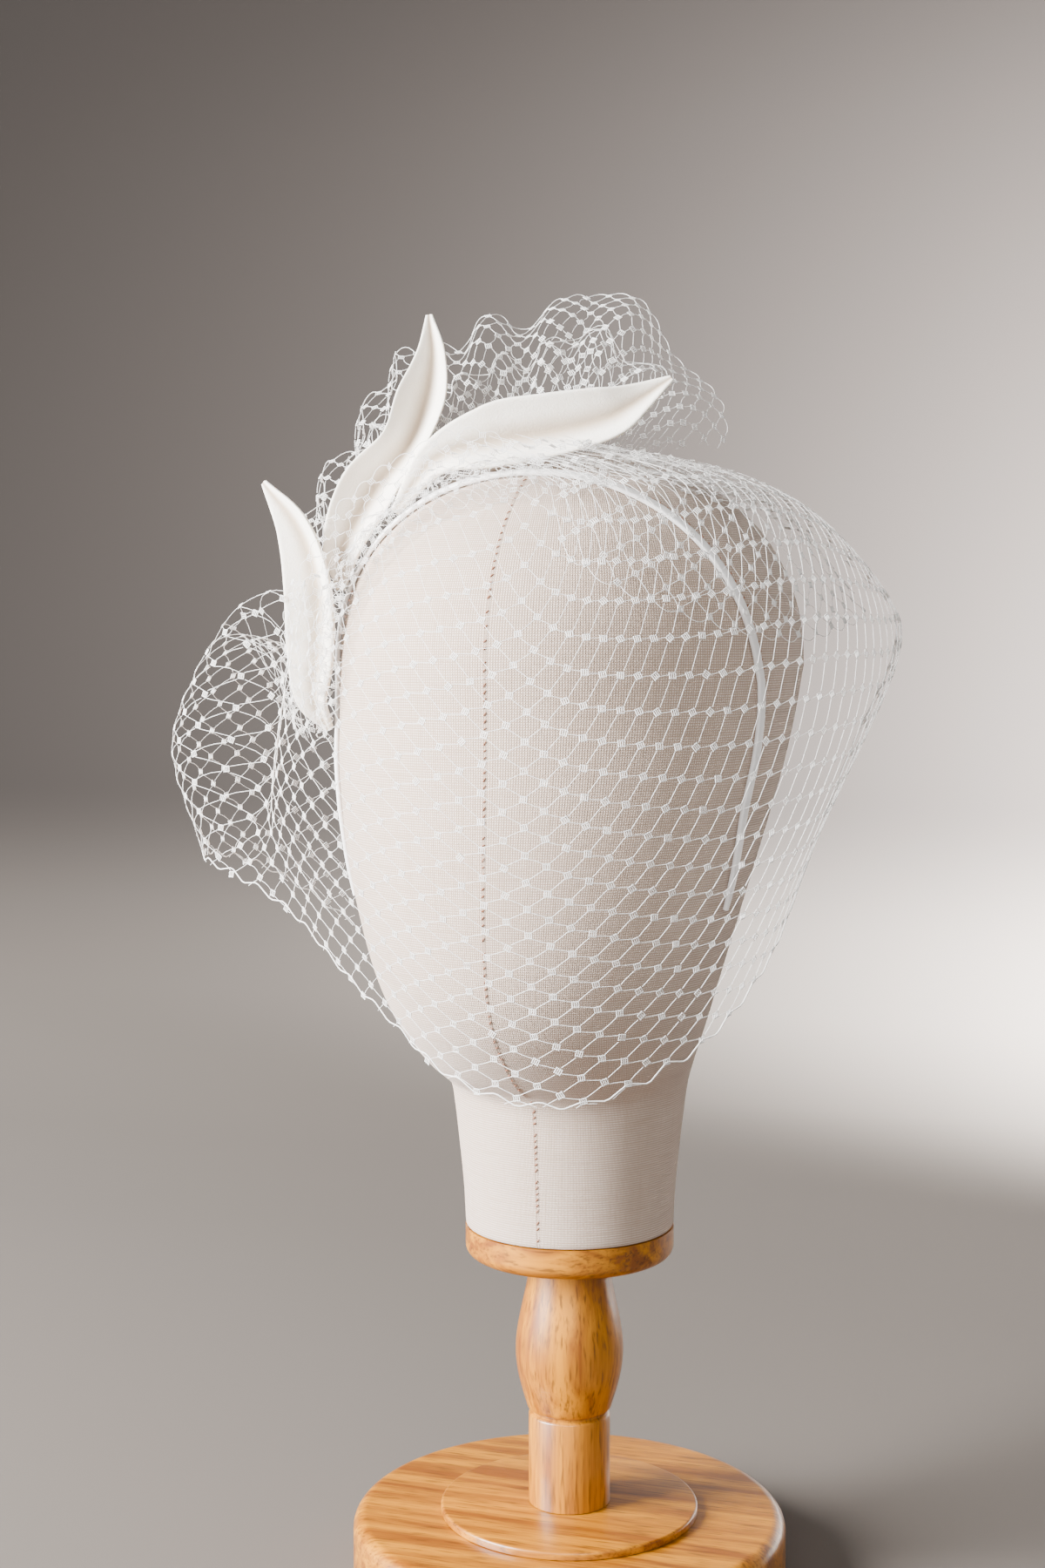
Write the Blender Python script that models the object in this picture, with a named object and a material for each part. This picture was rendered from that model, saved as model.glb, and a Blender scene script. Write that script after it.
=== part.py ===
"""Bridal birdcage veil with felt leaves on a headband, on a linen head form and a turned stand.

Sizes are in millimetres until the vertices are made. The origin is at the middle of the base's
underside, +Z is up, the form faces -Y and the wearer's left is +X. A turn round the head is in
degrees from the front, and a turn on the band is in degrees from the crown, both plus to the left.
"""
import bpy
import bmesh
from math import cos, hypot, pi, radians, sin
from mathutils import Vector

MM = 0.001
SEAM = 0.3

# Turned stand
BASE_RADIUS = 76.5
BASE_HEIGHT = 24.0
BASE_TOP_ROUND = 5.0
BASE_FOOT_ROUND = 1.5
COLLAR_RADIUS = 45.5
COLLAR_TOP = 27.0
COLLAR_ROUND = 1.0
POST_RADIUS = 14.4
POST_TOP = 58.5
GROOVE_RADIUS = 13.2
GROOVE_HEIGHT = 60.0
BULB_FOOT = 61.5
BULB_FOOT_RADIUS = 14.8
BULB_MIDDLE = 82.0
BULB_RADIUS = 19.0
SPINDLE_TOP = 116.0
SPINDLE_TOP_RADIUS = 14.0
PLATE_RADIUS = 36.6
PLATE_TOP = 127.0
PLATE_ROUND = 4.0
TURNED_SIDES = 30

# Linen head and neck
HEAD_SECTIONS = (
    # height, forward of the stand, half width, half depth
    (127.3, 0.0, 36.4, 36.4),
    (142.0, 0.0, 37.2, 37.2),
    (160.0, 0.0, 39.0, 39.0),
    (174.0, 0.0, 40.7, 40.7),
    (178.5, 0.5, 41.5, 42.0),
    (182.0, 3.5, 42.8, 46.0),
    (186.0, 7.5, 44.6, 50.0),
    (191.0, 11.5, 46.8, 53.5),
    (198.0, 16.0, 49.8, 57.5),
    (207.0, 20.5, 53.3, 61.5),
    (221.0, 23.8, 58.0, 65.0),
    (240.0, 23.5, 63.6, 68.3),
    (259.0, 20.5, 68.7, 71.5),
    (288.0, 10.5, 75.0, 80.0),
    (306.0, 2.0, 77.2, 88.0),
    (323.0, -5.0, 78.5, 95.5),
)
CROWN_HEIGHT = 396.0
CROWN_FULLNESS = 2.15
CROWN_BACKWARD = 3.0
CROWN_RINGS = 9
HEAD_SIDES = 44

# Headband
BAND_CENTRE = 318.0
BAND_WIDTH = 3.6
BAND_THICK = 1.6
BAND_TOP_FORWARD = 47.0
BAND_SIDE_FORWARD = 31.0
BAND_LEG_FORWARD = 39.0
BAND_END_TURN = 139.0
BAND_REST = 0.4
BAND_STATIONS = 48

# Gathered heading of the veil
HEADING_ROWS = (
    # turn on the band, forward of the band, half width, half height
    (-106.0, 9.0, 2.0, 1.8),
    (-96.0, 15.0, 2.8, 2.2),
    (-84.0, 19.0, 4.6, 2.8),
    (-64.0, 16.0, 5.4, 2.8),
    (-42.0, 12.0, 5.2, 2.6),
    (-20.0, 9.0, 4.8, 2.8),
    (0.0, 7.6, 4.4, 2.8),
    (16.0, 6.6, 3.6, 2.5),
    (27.0, 5.4, 2.0, 1.8),
)
HEADING_GATHERS = 24
HEADING_GATHER_DEPTH = 0.8
HEADING_STATIONS = 76
HEADING_SIDES = 8

# Netting, as thick as its knots stand
VEIL_THICK = 1.0
VEIL_AXIS_FORWARD = 10.0

# Front tier, a row for each fold line from behind the wearer's right ear round to the left
FACE_FOLDS = (
    # turn round the head, turn on the band, shoulder reach, height, belly reach, height, hem reach, height
    (-118.0, -92.0, 100.0, 320.0, 112.0, 280.0, 112.0, 222.0),
    (-103.0, -99.0, 110.0, 328.0, 126.0, 295.0, 126.0, 245.0),
    (-88.0, -104.0, 113.0, 333.0, 135.0, 300.0, 129.0, 254.0),
    (-77.0, -106.0, 114.0, 335.0, 136.0, 298.0, 125.0, 256.0),
    (-70.0, -98.0, 107.0, 345.0, 125.0, 296.0, 121.0, 255.0),
    (-64.0, -86.0, 93.0, 350.0, 101.0, 287.0, 112.0, 252.0),
    (-52.0, -71.0, 88.0, 351.0, 101.0, 286.0, 96.0, 242.0),
    (-37.0, -58.0, 86.0, 358.0, 103.0, 289.0, 90.0, 228.0),
    (-19.0, -44.0, 86.0, 366.0, 108.0, 291.0, 90.0, 212.0),
    (0.0, -30.0, 86.0, 372.0, 115.0, 292.0, 98.0, 196.0),
    (18.0, -16.0, 86.0, 374.0, 119.0, 294.0, 104.0, 192.0),
    (38.0, -3.0, 86.0, 375.0, 118.0, 298.0, 102.0, 204.0),
    (58.0, 7.0, 86.0, 376.0, 115.0, 308.0, 95.0, 227.0),
    (78.0, 14.0, 85.0, 376.0, 113.0, 321.0, 91.0, 260.0),
    (98.0, 20.0, 82.5, 375.0, 114.0, 335.0, 99.0, 298.0),
    (118.0, 24.0, 79.0, 372.5, 115.0, 346.0, 121.0, 332.0),
)
FACE_REAR_TURN = -75.0
FACE_REAR_SPREAD = 28.0
FACE_REAR_SHIFT = 22.0
FACE_REAR_LIFT = 5.0
FACE_OVER_FLAP = 5.6
FACE_GATHERS = 22
FACE_GATHER_DEPTH = 1.4
FACE_COLUMNS = 108
FACE_ROWS = 10

# Short tier over the right of the crown, under the front tier
FLAP_FOLDS = (
    # turn round the head, turn on the band, middle reach, height, hem reach, height
    (14.0, -8.0, 60.0, 381.0, 70.5, 363.0),
    (24.0, -1.0, 64.0, 378.0, 78.0, 351.0),
    (42.0, 6.0, 66.5, 377.5, 81.0, 340.0),
    (60.0, 11.0, 68.0, 377.5, 81.0, 334.0),
    (82.0, 16.0, 71.0, 377.5, 85.0, 331.0),
    (100.0, 19.0, 77.0, 373.5, 95.0, 335.0),
    (116.0, 21.5, 84.0, 367.0, 109.0, 341.0),
)
FLAP_CROWN_RISE = 2.0
FLAP_GATHER_DEPTH = 0.6
FLAP_GATHERS = 7
FLAP_COLUMNS = 42
FLAP_ROWS = 6

# Short tier that stands up behind the leaves
RUFFLE_FOLDS = (
    # turn on the band, edge to the left, forward, height, bow
    (-76.0, -97.0, 16.0, 362.0, 10.0),
    (-62.0, -92.0, 8.0, 382.0, 12.0),
    (-50.0, -80.0, -2.0, 405.0, 10.0),
    (-38.0, -68.0, -6.0, 428.0, 12.0),
    (-27.0, -55.0, -3.0, 436.0, 13.0),
    (-18.0, -42.0, 2.0, 435.0, 14.0),
    (-10.0, -28.0, -4.0, 443.0, 16.0),
    (-2.0, -12.0, -8.0, 443.0, 16.0),
    (5.0, 2.0, -18.0, 455.0, 18.0),
    (11.0, 18.0, -20.0, 447.0, 18.0),
    (16.0, 33.0, -17.0, 434.0, 15.0),
    (21.0, 47.0, -11.0, 414.0, 10.0),
    (25.0, 54.0, -4.0, 395.0, 7.0),
)
RUFFLE_WAVES = 9
RUFFLE_WAVE_DEPTH = 3.8
RUFFLE_COLUMNS = 76
RUFFLE_ROWS = 6
RUFFLE_BEHIND_BAND = 7.0
RUFFLE_BEHIND_TOP_LEAF = 8.0

# Felt leaves, each seated on the band at its root, with a row for each station beyond it
LEAF_THICK = 2.6
LEAF_ROOT = 1.6
LEAF_LOW_SEAT = -103.0
LEAF_LOW = (
    # along, left, forward, height, half width, fold
    (0.12, -79.0, 40.0, 311.0, 6.5, 2.0),
    (0.35, -76.4, 45.0, 328.0, 10.0, 3.0),
    (0.6, -75.4, 48.0, 349.0, 9.8, 4.0),
    (0.82, -82.9, 44.5, 369.0, 6.8, 3.0),
    (1.0, -97.0, 39.5, 385.0, 1.2, 0.4),
)
LEAF_MIDDLE_SEAT = -66.0
LEAF_MIDDLE = (
    (0.15, -66.4, 43.0, 363.0, 7.0, 2.5),
    (0.35, -58.2, 40.0, 381.0, 9.8, 5.0),
    (0.55, -45.4, 40.0, 396.0, 7.8, 5.0),
    (0.75, -40.0, 36.0, 412.0, 8.5, 5.0),
    (0.9, -38.3, 33.0, 427.0, 5.0, 2.5),
    (1.0, -40.0, 31.0, 440.0, 1.2, 0.4),
)
LEAF_TOP_SEAT = -40.0
LEAF_TOP = (
    (0.15, -33.0, 46.5, 390.5, 6.0, 1.0),
    (0.4, -13.0, 44.5, 397.0, 11.0, 4.0),
    (0.62, 5.0, 40.5, 400.0, 11.0, 4.5),
    (0.82, 23.5, 35.0, 404.5, 9.0, 3.5),
    (0.93, 33.5, 30.0, 410.5, 5.0, 1.5),
    (1.0, 42.5, 27.0, 416.5, 1.2, 0.3),
)
LEAF_STATIONS = 13
LEAF_STRIPS = 8


def clear_scene():
    """Take every object out of the scene."""
    for item in list(bpy.data.objects):
        bpy.data.objects.remove(item, do_unlink=True)


def finish_material(name, colour, roughness, sheen=0.0):
    """A Principled material of one colour."""
    material = bpy.data.materials.new(name)
    material.use_nodes = True
    shader = material.node_tree.nodes["Principled BSDF"]
    shader.inputs["Base Color"].default_value = (*colour, 1.0)
    shader.inputs["Roughness"].default_value = roughness
    shader.inputs["Metallic"].default_value = 0.0
    shader.inputs["Sheen Weight"].default_value = sheen
    return material


def add_piece(name, bm, material):
    """Put a bmesh in the scene as a smooth-shaded object."""
    bmesh.ops.recalc_face_normals(bm, faces=bm.faces[:])
    mesh = bpy.data.meshes.new(name)
    bm.to_mesh(mesh)
    bm.free()
    mesh.shade_smooth()
    mesh.set_sharp_from_angle(angle=radians(50.0))
    mesh.materials.append(material)
    piece = bpy.data.objects.new(name, mesh)
    bpy.context.scene.collection.objects.link(piece)
    return piece


def read_row(rows, key):
    """The other columns of a table at a key between its rows, on a smooth curve."""
    key = min(max(key, rows[0][0]), rows[-1][0])
    at = max(i for i in range(len(rows) - 1) if rows[i][0] <= key)
    low = rows[at]
    high = rows[at + 1]
    step = high[0] - low[0]
    t = (key - low[0]) / step
    values = []
    for column in range(1, len(low)):
        slopes = []
        for i in (at, at + 1):
            before = rows[max(i - 1, 0)]
            after = rows[min(i + 1, len(rows) - 1)]
            slopes.append(step * (after[column] - before[column]) / (after[0] - before[0]))
        start = low[column] * (2 * t ** 3 - 3 * t ** 2 + 1) + slopes[0] * (t ** 3 - 2 * t ** 2 + t)
        end = high[column] * (3 * t ** 2 - 2 * t ** 3) + slopes[1] * (t ** 3 - t ** 2)
        values.append(start + end)
    return values


def along_points(points, share):
    """The point at a share of the length of a smooth curve through some points."""
    rows = [(0.0, *points[0])]
    for before, after in zip(points, points[1:]):
        rows.append((rows[-1][0] + (after - before).length, *after))
    return Vector(read_row(rows, share * rows[-1][0]))


def smooth_step(value):
    """Rise from 0 to 1 with level ends."""
    value = min(max(value, 0.0), 1.0)
    return value * value * (3.0 - 2.0 * value)


def head_section(height):
    """Forward place, half width and half depth of the head at a height."""
    widest, forward, half_width, half_depth = HEAD_SECTIONS[-1]
    if height <= widest:
        return read_row(HEAD_SECTIONS, height)
    rise = min((height - widest) / (CROWN_HEIGHT - widest), 1.0)
    share = (1.0 - rise ** CROWN_FULLNESS) ** (1.0 / CROWN_FULLNESS)
    return [forward - CROWN_BACKWARD * rise, half_width * share, half_depth * share]


def head_level(point):
    """How far a point is outside the head, as a share of its section."""
    if point.z >= CROWN_HEIGHT - 0.01:
        return 1.0
    forward, half_width, half_depth = head_section(point.z)
    return hypot(point.x / half_width, (-point.y - forward) / half_depth) - 1.0


def head_normal(point):
    """Outward direction of the head's surface at a point on it."""
    step = 0.5
    across = Vector((step, 0.0, 0.0))
    deep = Vector((0.0, step, 0.0))
    up = Vector((0.0, 0.0, step))
    slope = Vector((
        head_level(point + across) - head_level(point - across),
        head_level(point + deep) - head_level(point - deep),
        head_level(point + up) - head_level(point - up),
    ))
    return slope.normalized()


def on_head(forward, turn, lift):
    """The point over the head's surface in an upright plane, at a turn from the crown."""
    centre = Vector((0.0, -forward, BAND_CENTRE))
    way = Vector((sin(radians(turn)), 0.0, cos(radians(turn))))
    inner = 5.0
    outer = 130.0
    for _ in range(40):
        middle = (inner + outer) / 2
        if head_level(centre + way * middle) > 0.0:
            outer = middle
        else:
            inner = middle
    surface = centre + way * outer
    normal = head_normal(surface)
    return surface + normal * lift, normal


def band_forward(turn):
    """How far forward the headband runs at a turn from the crown."""
    share = min(abs(turn) / 90.0, 1.0)
    upper = BAND_TOP_FORWARD + (BAND_SIDE_FORWARD - BAND_TOP_FORWARD) * share ** 2
    lower = smooth_step((abs(turn) - 95.0) / 30.0)
    return upper + (BAND_LEG_FORWARD - BAND_SIDE_FORWARD) * lower


def loft(rings):
    """A closed body through rings of points, with flat ends."""
    bm = bmesh.new()
    loops = [[bm.verts.new(point * MM) for point in ring] for ring in rings]
    for low, high in zip(loops, loops[1:]):
        for i in range(len(low)):
            j = (i + 1) % len(low)
            bm.faces.new((low[i], low[j], high[j], high[i]))
    bm.faces.new(loops[0][::-1])
    bm.faces.new(loops[-1])
    return bm


def quarter(centre_radius, centre_height, round_size, start, end, steps):
    """Points of a rounded edge on a turned profile, from one angle to another."""
    points = []
    for i in range(steps + 1):
        angle = radians(start + (end - start) * i / steps)
        points.append((centre_radius + round_size * cos(angle), centre_height + round_size * sin(angle)))
    return points


def turned(name, profile, material):
    """A solid of revolution from its outer side, foot to top."""
    bm = bmesh.new()
    line = [bm.verts.new((radius * MM, 0.0, height * MM)) for radius, height in profile]
    foot = bm.verts.new((0.0, 0.0, profile[0][1] * MM))
    top = bm.verts.new((0.0, 0.0, profile[-1][1] * MM))
    chain = [foot] + line + [top]
    edges = [bm.edges.new(pair) for pair in zip(chain, chain[1:])]
    bmesh.ops.spin(bm, geom=chain + edges, cent=(0, 0, 0), axis=(0, 0, 1), angle=2 * pi,
                   steps=TURNED_SIDES, use_merge=True)
    bmesh.ops.remove_doubles(bm, verts=bm.verts[:], dist=0.00001)
    return add_piece(name, bm, material)


def make_stand(wood):
    """Base, collar, spindle and neck plate, each turned."""
    base = quarter(BASE_RADIUS - BASE_FOOT_ROUND, BASE_FOOT_ROUND, BASE_FOOT_ROUND, -90, 0, 2)
    base += quarter(BASE_RADIUS - BASE_TOP_ROUND, BASE_HEIGHT - BASE_TOP_ROUND, BASE_TOP_ROUND, 0, 90, 5)
    turned("stand_base", base, wood)
    collar = [(COLLAR_RADIUS, BASE_HEIGHT + SEAM)]
    collar += quarter(COLLAR_RADIUS - COLLAR_ROUND, COLLAR_TOP - COLLAR_ROUND, COLLAR_ROUND, 0, 90, 2)
    turned("base_collar", collar, wood)
    spindle = [
        (POST_RADIUS, COLLAR_TOP + SEAM),
        (POST_RADIUS, POST_TOP),
        (GROOVE_RADIUS, GROOVE_HEIGHT),
        (BULB_FOOT_RADIUS, BULB_FOOT),
    ]
    for i in range(1, 6):
        share = i / 5
        height = BULB_FOOT + (BULB_MIDDLE - BULB_FOOT) * share
        spindle.append((BULB_FOOT_RADIUS + (BULB_RADIUS - BULB_FOOT_RADIUS) * sin(share * pi / 2), height))
    for i in range(1, 9):
        share = i / 8
        height = BULB_MIDDLE + (SPINDLE_TOP - BULB_MIDDLE) * share
        spindle.append((SPINDLE_TOP_RADIUS + (BULB_RADIUS - SPINDLE_TOP_RADIUS) * (1 - smooth_step(share)), height))
    turned("stand_spindle", spindle, wood)
    plate = quarter(PLATE_RADIUS - PLATE_ROUND, SPINDLE_TOP + SEAM + PLATE_ROUND, PLATE_ROUND, -90, 0, 4)
    plate.append((PLATE_RADIUS, PLATE_TOP))
    turned("neck_plate", plate, wood)


def head_ring(height):
    """The points of the head's section at a height."""
    forward, half_width, half_depth = head_section(height)
    ring = []
    for i in range(HEAD_SIDES):
        angle = 2 * pi * i / HEAD_SIDES
        ring.append(Vector((half_width * sin(angle), -forward - half_depth * cos(angle), height)))
    return ring


def make_head(linen):
    """Head and neck in one, smooth and whole."""
    heights = [row[0] for row in HEAD_SECTIONS]
    widest = heights[-1]
    for i in range(1, CROWN_RINGS + 1):
        heights.append(widest + (CROWN_HEIGHT - widest) * sin(0.5 * pi * i / (CROWN_RINGS + 0.6)))
    add_piece("head_form", loft([head_ring(height) for height in heights]), linen)


def band_frame(turn, lift):
    """Place, outward way and sideways way on the headband's route."""
    place, normal = on_head(band_forward(turn), turn, lift)
    ahead, _ = on_head(band_forward(turn + 0.5), turn + 0.5, lift)
    behind, _ = on_head(band_forward(turn - 0.5), turn - 0.5, lift)
    along = (ahead - behind).normalized()
    side = along.cross(normal).normalized()
    return place, side.cross(along).normalized(), side


def make_band(satin):
    """Satin-wrapped headband with softly rounded edges, tapered at its two ends."""
    rings = []
    for i in range(BAND_STATIONS + 1):
        turn = -BAND_END_TURN + 2 * BAND_END_TURN * i / BAND_STATIONS
        place, normal, side = band_frame(turn, BAND_REST + BAND_THICK / 2)
        end = smooth_step((BAND_END_TURN - abs(turn)) / 5.0)
        half_width = BAND_WIDTH / 2 * (0.55 + 0.45 * end)
        half_thick = BAND_THICK / 2
        ring = []
        for x, y in ((-1, -0.4), (-0.8, -1), (0.8, -1), (1, -0.4), (1, 0.4), (0.8, 1), (-0.8, 1), (-1, 0.4)):
            ring.append(place + side * (x * half_width) + normal * (y * half_thick))
        rings.append(ring)
    add_piece("headband", loft(rings), satin)


def heading_frame(turn):
    """Middle, outward way, forward way, half width and half height of the gathered heading."""
    forward, half_width, half_height = read_row(HEADING_ROWS, turn)
    lift = BAND_THICK + 3 * SEAM + half_height + HEADING_GATHER_DEPTH
    middle, normal = on_head(band_forward(turn) + forward, turn, lift)
    ahead, _ = on_head(band_forward(turn + 0.5) + forward, turn + 0.5, lift)
    along = (ahead - middle).normalized()
    side = along.cross(normal).normalized()
    if side.y > 0:
        side = -side
    return middle, normal, side, half_width, half_height


def make_heading(net):
    """The tight gathers that the tiers hang from, as a ridged roll."""
    first = HEADING_ROWS[0][0]
    last = HEADING_ROWS[-1][0]
    rings = []
    for i in range(HEADING_STATIONS + 1):
        share = i / HEADING_STATIONS
        middle, normal, side, half_width, half_height = heading_frame(first + (last - first) * share)
        swell = HEADING_GATHER_DEPTH * sin(2 * pi * HEADING_GATHERS * share)
        ring = []
        for j in range(HEADING_SIDES):
            angle = 2 * pi * j / HEADING_SIDES
            across = side * ((half_width + swell) * cos(angle))
            ring.append(middle + across + normal * ((half_height + swell) * sin(angle)))
        rings.append(ring)
    add_piece("veil_heading", loft(rings), net)


def round_head(turn, reach, height):
    """A point at a turn, a reach from the veil's upright axis and a height."""
    angle = radians(turn)
    return Vector((reach * sin(angle), -VEIL_AXIS_FORWARD - reach * cos(angle), height))


def face_point(across, down):
    """The front tier, across from ear to ear and down from the heading to the hem, each 0 to 1."""
    first = FACE_FOLDS[0][0]
    turn = first + (FACE_FOLDS[-1][0] - first) * across
    band_turn, shoulder, shoulder_height, belly, belly_height, hem, hem_height = read_row(FACE_FOLDS, turn)
    middle, normal, side, half_width, half_height = heading_frame(band_turn)
    lift = half_height + HEADING_GATHER_DEPTH + SEAM + VEIL_THICK / 2 + FACE_GATHER_DEPTH
    rear = smooth_step((FACE_REAR_TURN - turn) / FACE_REAR_SPREAD)
    lift += FACE_REAR_LIFT * rear + FACE_OVER_FLAP * smooth_step((turn + 10.0) / 20.0)
    start = middle + normal * lift - side * (FACE_REAR_SHIFT * rear)
    return along_points((
        start,
        round_head(turn, shoulder, shoulder_height),
        round_head(turn, belly, belly_height),
        round_head(turn, hem, hem_height),
    ), down)


def flap_point(across, down):
    """The short tier over the right of the crown."""
    first = FLAP_FOLDS[0][0]
    turn = first + (FLAP_FOLDS[-1][0] - first) * across
    band_turn, middle_reach, middle_height, hem, hem_height = read_row(FLAP_FOLDS, turn)
    middle, normal, side, half_width, half_height = heading_frame(band_turn)
    start = middle + normal * (half_height + HEADING_GATHER_DEPTH + SEAM + VEIL_THICK / 2 + FLAP_GATHER_DEPTH)
    middle = round_head(turn, middle_reach, middle_height)
    crown = (start + middle) / 2 + Vector((0.0, 0.0, FLAP_CROWN_RISE * smooth_step(turn / 60.0)))
    return along_points((
        start,
        crown,
        middle,
        round_head(turn, hem, hem_height),
    ), down)


def ruffle_point(across, down):
    """The short tier behind the leaves, from the headband up to its free edge."""
    first = RUFFLE_FOLDS[0][0]
    band_turn = first + (RUFFLE_FOLDS[-1][0] - first) * across
    left, forward, height, bow = read_row(RUFFLE_FOLDS, band_turn)
    behind = RUFFLE_BEHIND_BAND + RUFFLE_BEHIND_TOP_LEAF * smooth_step((band_turn + 30.0) / 20.0)
    start, normal = on_head(band_forward(band_turn) - behind, band_turn, SEAM + VEIL_THICK)
    edge = Vector((left, -forward, height))
    out = ((start + edge) / 2 - Vector((0.0, -30.0, BAND_CENTRE))).normalized()
    return along_points((start, (start + edge) / 2 + out * bow, edge), down)


def make_tier(name, point, columns, rows, gathers, heading_depth, hem_depth, net):
    """A wall of netting over a surface, with gathers at the heading and waves at the hem."""
    bm = bmesh.new()
    bmesh.ops.create_grid(bm, x_segments=columns, y_segments=rows, size=0.5)
    step = 0.002
    for vertex in bm.verts:
        across = vertex.co.x + 0.5
        down = vertex.co.y + 0.5
        left = point(max(across - step, 0.0), down)
        right = point(min(across + step, 1.0), down)
        above = point(across, max(down - step, 0.0))
        below = point(across, min(down + step, 1.0))
        normal = (right - left).cross(above - below).normalized()
        depth = heading_depth * (1.0 - smooth_step(down / 0.45)) + hem_depth * smooth_step(down)
        wave = sin(2 * pi * gathers * across)
        vertex.co = (point(across, down) + normal * (depth * wave)) * MM
    piece = add_piece(name, bm, net)
    wall = piece.modifiers.new("wall", "SOLIDIFY")
    wall.thickness = VEIL_THICK * MM
    wall.offset = 0.0
    return piece


def leaf_ring(rows, share, facing):
    """The points round a moulded leaf at a share of its length."""
    left, forward, height, half_width, fold = read_row(rows, share)
    step = 0.01
    low = read_row(rows, max(share - step, 0.0))
    high = read_row(rows, min(share + step, 1.0))
    along = Vector((high[0] - low[0], low[1] - high[1], high[2] - low[2])).normalized()
    side = along.cross(facing).normalized()
    front = side.cross(along).normalized()
    middle = Vector((left, -forward, height))
    outer = []
    inner = []
    for i in range(LEAF_STRIPS + 1):
        part = 2 * i / LEAF_STRIPS - 1
        rise = fold * (abs(part) - 0.5)
        half_thick = LEAF_THICK / 2 * sqrt_end(part, half_width)
        place = middle + side * (part * half_width) + front * rise
        outer.append(place + front * half_thick)
        inner.append(place - front * half_thick)
    return outer + inner[::-1]


def sqrt_end(part, half_width):
    """Share of the full thickness at a part of the width, rounded off at the edges."""
    edge = (1.0 - abs(part)) * half_width
    return 0.45 + 0.55 * smooth_step(edge / LEAF_THICK)


def make_leaf(name, seat, rows, facing, felt):
    """One thick felt leaf with a fold down its middle, from its seat on the headband."""
    root, _ = on_head(band_forward(seat), seat, BAND_REST + BAND_THICK + SEAM + LEAF_ROOT)
    rows = ((0.0, root.x, -root.y, root.z, LEAF_ROOT, 0.0),) + rows
    rings = []
    for i in range(LEAF_STATIONS + 1):
        rings.append(leaf_ring(rows, i / LEAF_STATIONS, facing))
    add_piece(name, loft(rings), felt)


def build():
    """Make the whole part."""
    clear_scene()
    wood = finish_material("beech", (0.60, 0.34, 0.13), 0.35)
    linen = finish_material("linen", (0.66, 0.58, 0.50), 0.95)
    satin = finish_material("satin", (0.85, 0.83, 0.80), 0.35, 0.3)
    felt = finish_material("felt", (0.84, 0.81, 0.76), 0.95, 0.4)
    net = finish_material("netting", (0.86, 0.85, 0.83), 0.6)
    make_stand(wood)
    make_head(linen)
    make_band(satin)
    make_leaf("leaf_low", LEAF_LOW_SEAT, LEAF_LOW, Vector((-0.25, -1.0, 0.0)), felt)
    make_leaf("leaf_middle", LEAF_MIDDLE_SEAT, LEAF_MIDDLE, Vector((0.1, -1.0, 0.1)), felt)
    make_leaf("leaf_top", LEAF_TOP_SEAT, LEAF_TOP, Vector((0.3, -1.0, 0.3)), felt)
    make_heading(net)
    make_tier("veil_face", face_point, FACE_COLUMNS, FACE_ROWS, FACE_GATHERS, FACE_GATHER_DEPTH, 0.0, net)
    make_tier("veil_flap", flap_point, FLAP_COLUMNS, FLAP_ROWS, FLAP_GATHERS, FLAP_GATHER_DEPTH, 0.0, net)
    make_tier("veil_ruffle", ruffle_point, RUFFLE_COLUMNS, RUFFLE_ROWS, RUFFLE_WAVES, 1.0, RUFFLE_WAVE_DEPTH, net)


build()
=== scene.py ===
"""Looks of the bridal veil on its head form: net, felt, satin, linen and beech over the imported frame.

Sizes are in millimetres until the vertices are made. +Z is up, the form faces -Y and the wearer's
left is +X. A turn round the head is in degrees from the front, and a turn on the band is in
degrees from the crown, both plus to the left.
"""

from functools import lru_cache, partial
from math import atan, cos, hypot, pi, radians, sin, sqrt
from random import Random

import bmesh
import bpy
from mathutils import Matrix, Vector


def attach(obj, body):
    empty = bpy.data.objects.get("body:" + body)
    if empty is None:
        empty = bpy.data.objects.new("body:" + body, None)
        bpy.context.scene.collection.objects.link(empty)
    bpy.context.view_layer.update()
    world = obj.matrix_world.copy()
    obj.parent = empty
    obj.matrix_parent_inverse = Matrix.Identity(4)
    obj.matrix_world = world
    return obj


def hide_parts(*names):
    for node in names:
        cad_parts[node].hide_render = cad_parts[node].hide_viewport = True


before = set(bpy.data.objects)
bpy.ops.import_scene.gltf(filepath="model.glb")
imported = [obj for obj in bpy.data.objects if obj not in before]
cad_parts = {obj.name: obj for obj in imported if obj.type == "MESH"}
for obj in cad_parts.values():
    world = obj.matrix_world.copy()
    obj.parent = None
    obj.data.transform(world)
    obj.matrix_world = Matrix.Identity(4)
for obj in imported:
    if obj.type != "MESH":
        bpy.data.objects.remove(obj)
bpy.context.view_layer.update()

MM = 0.001

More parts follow.
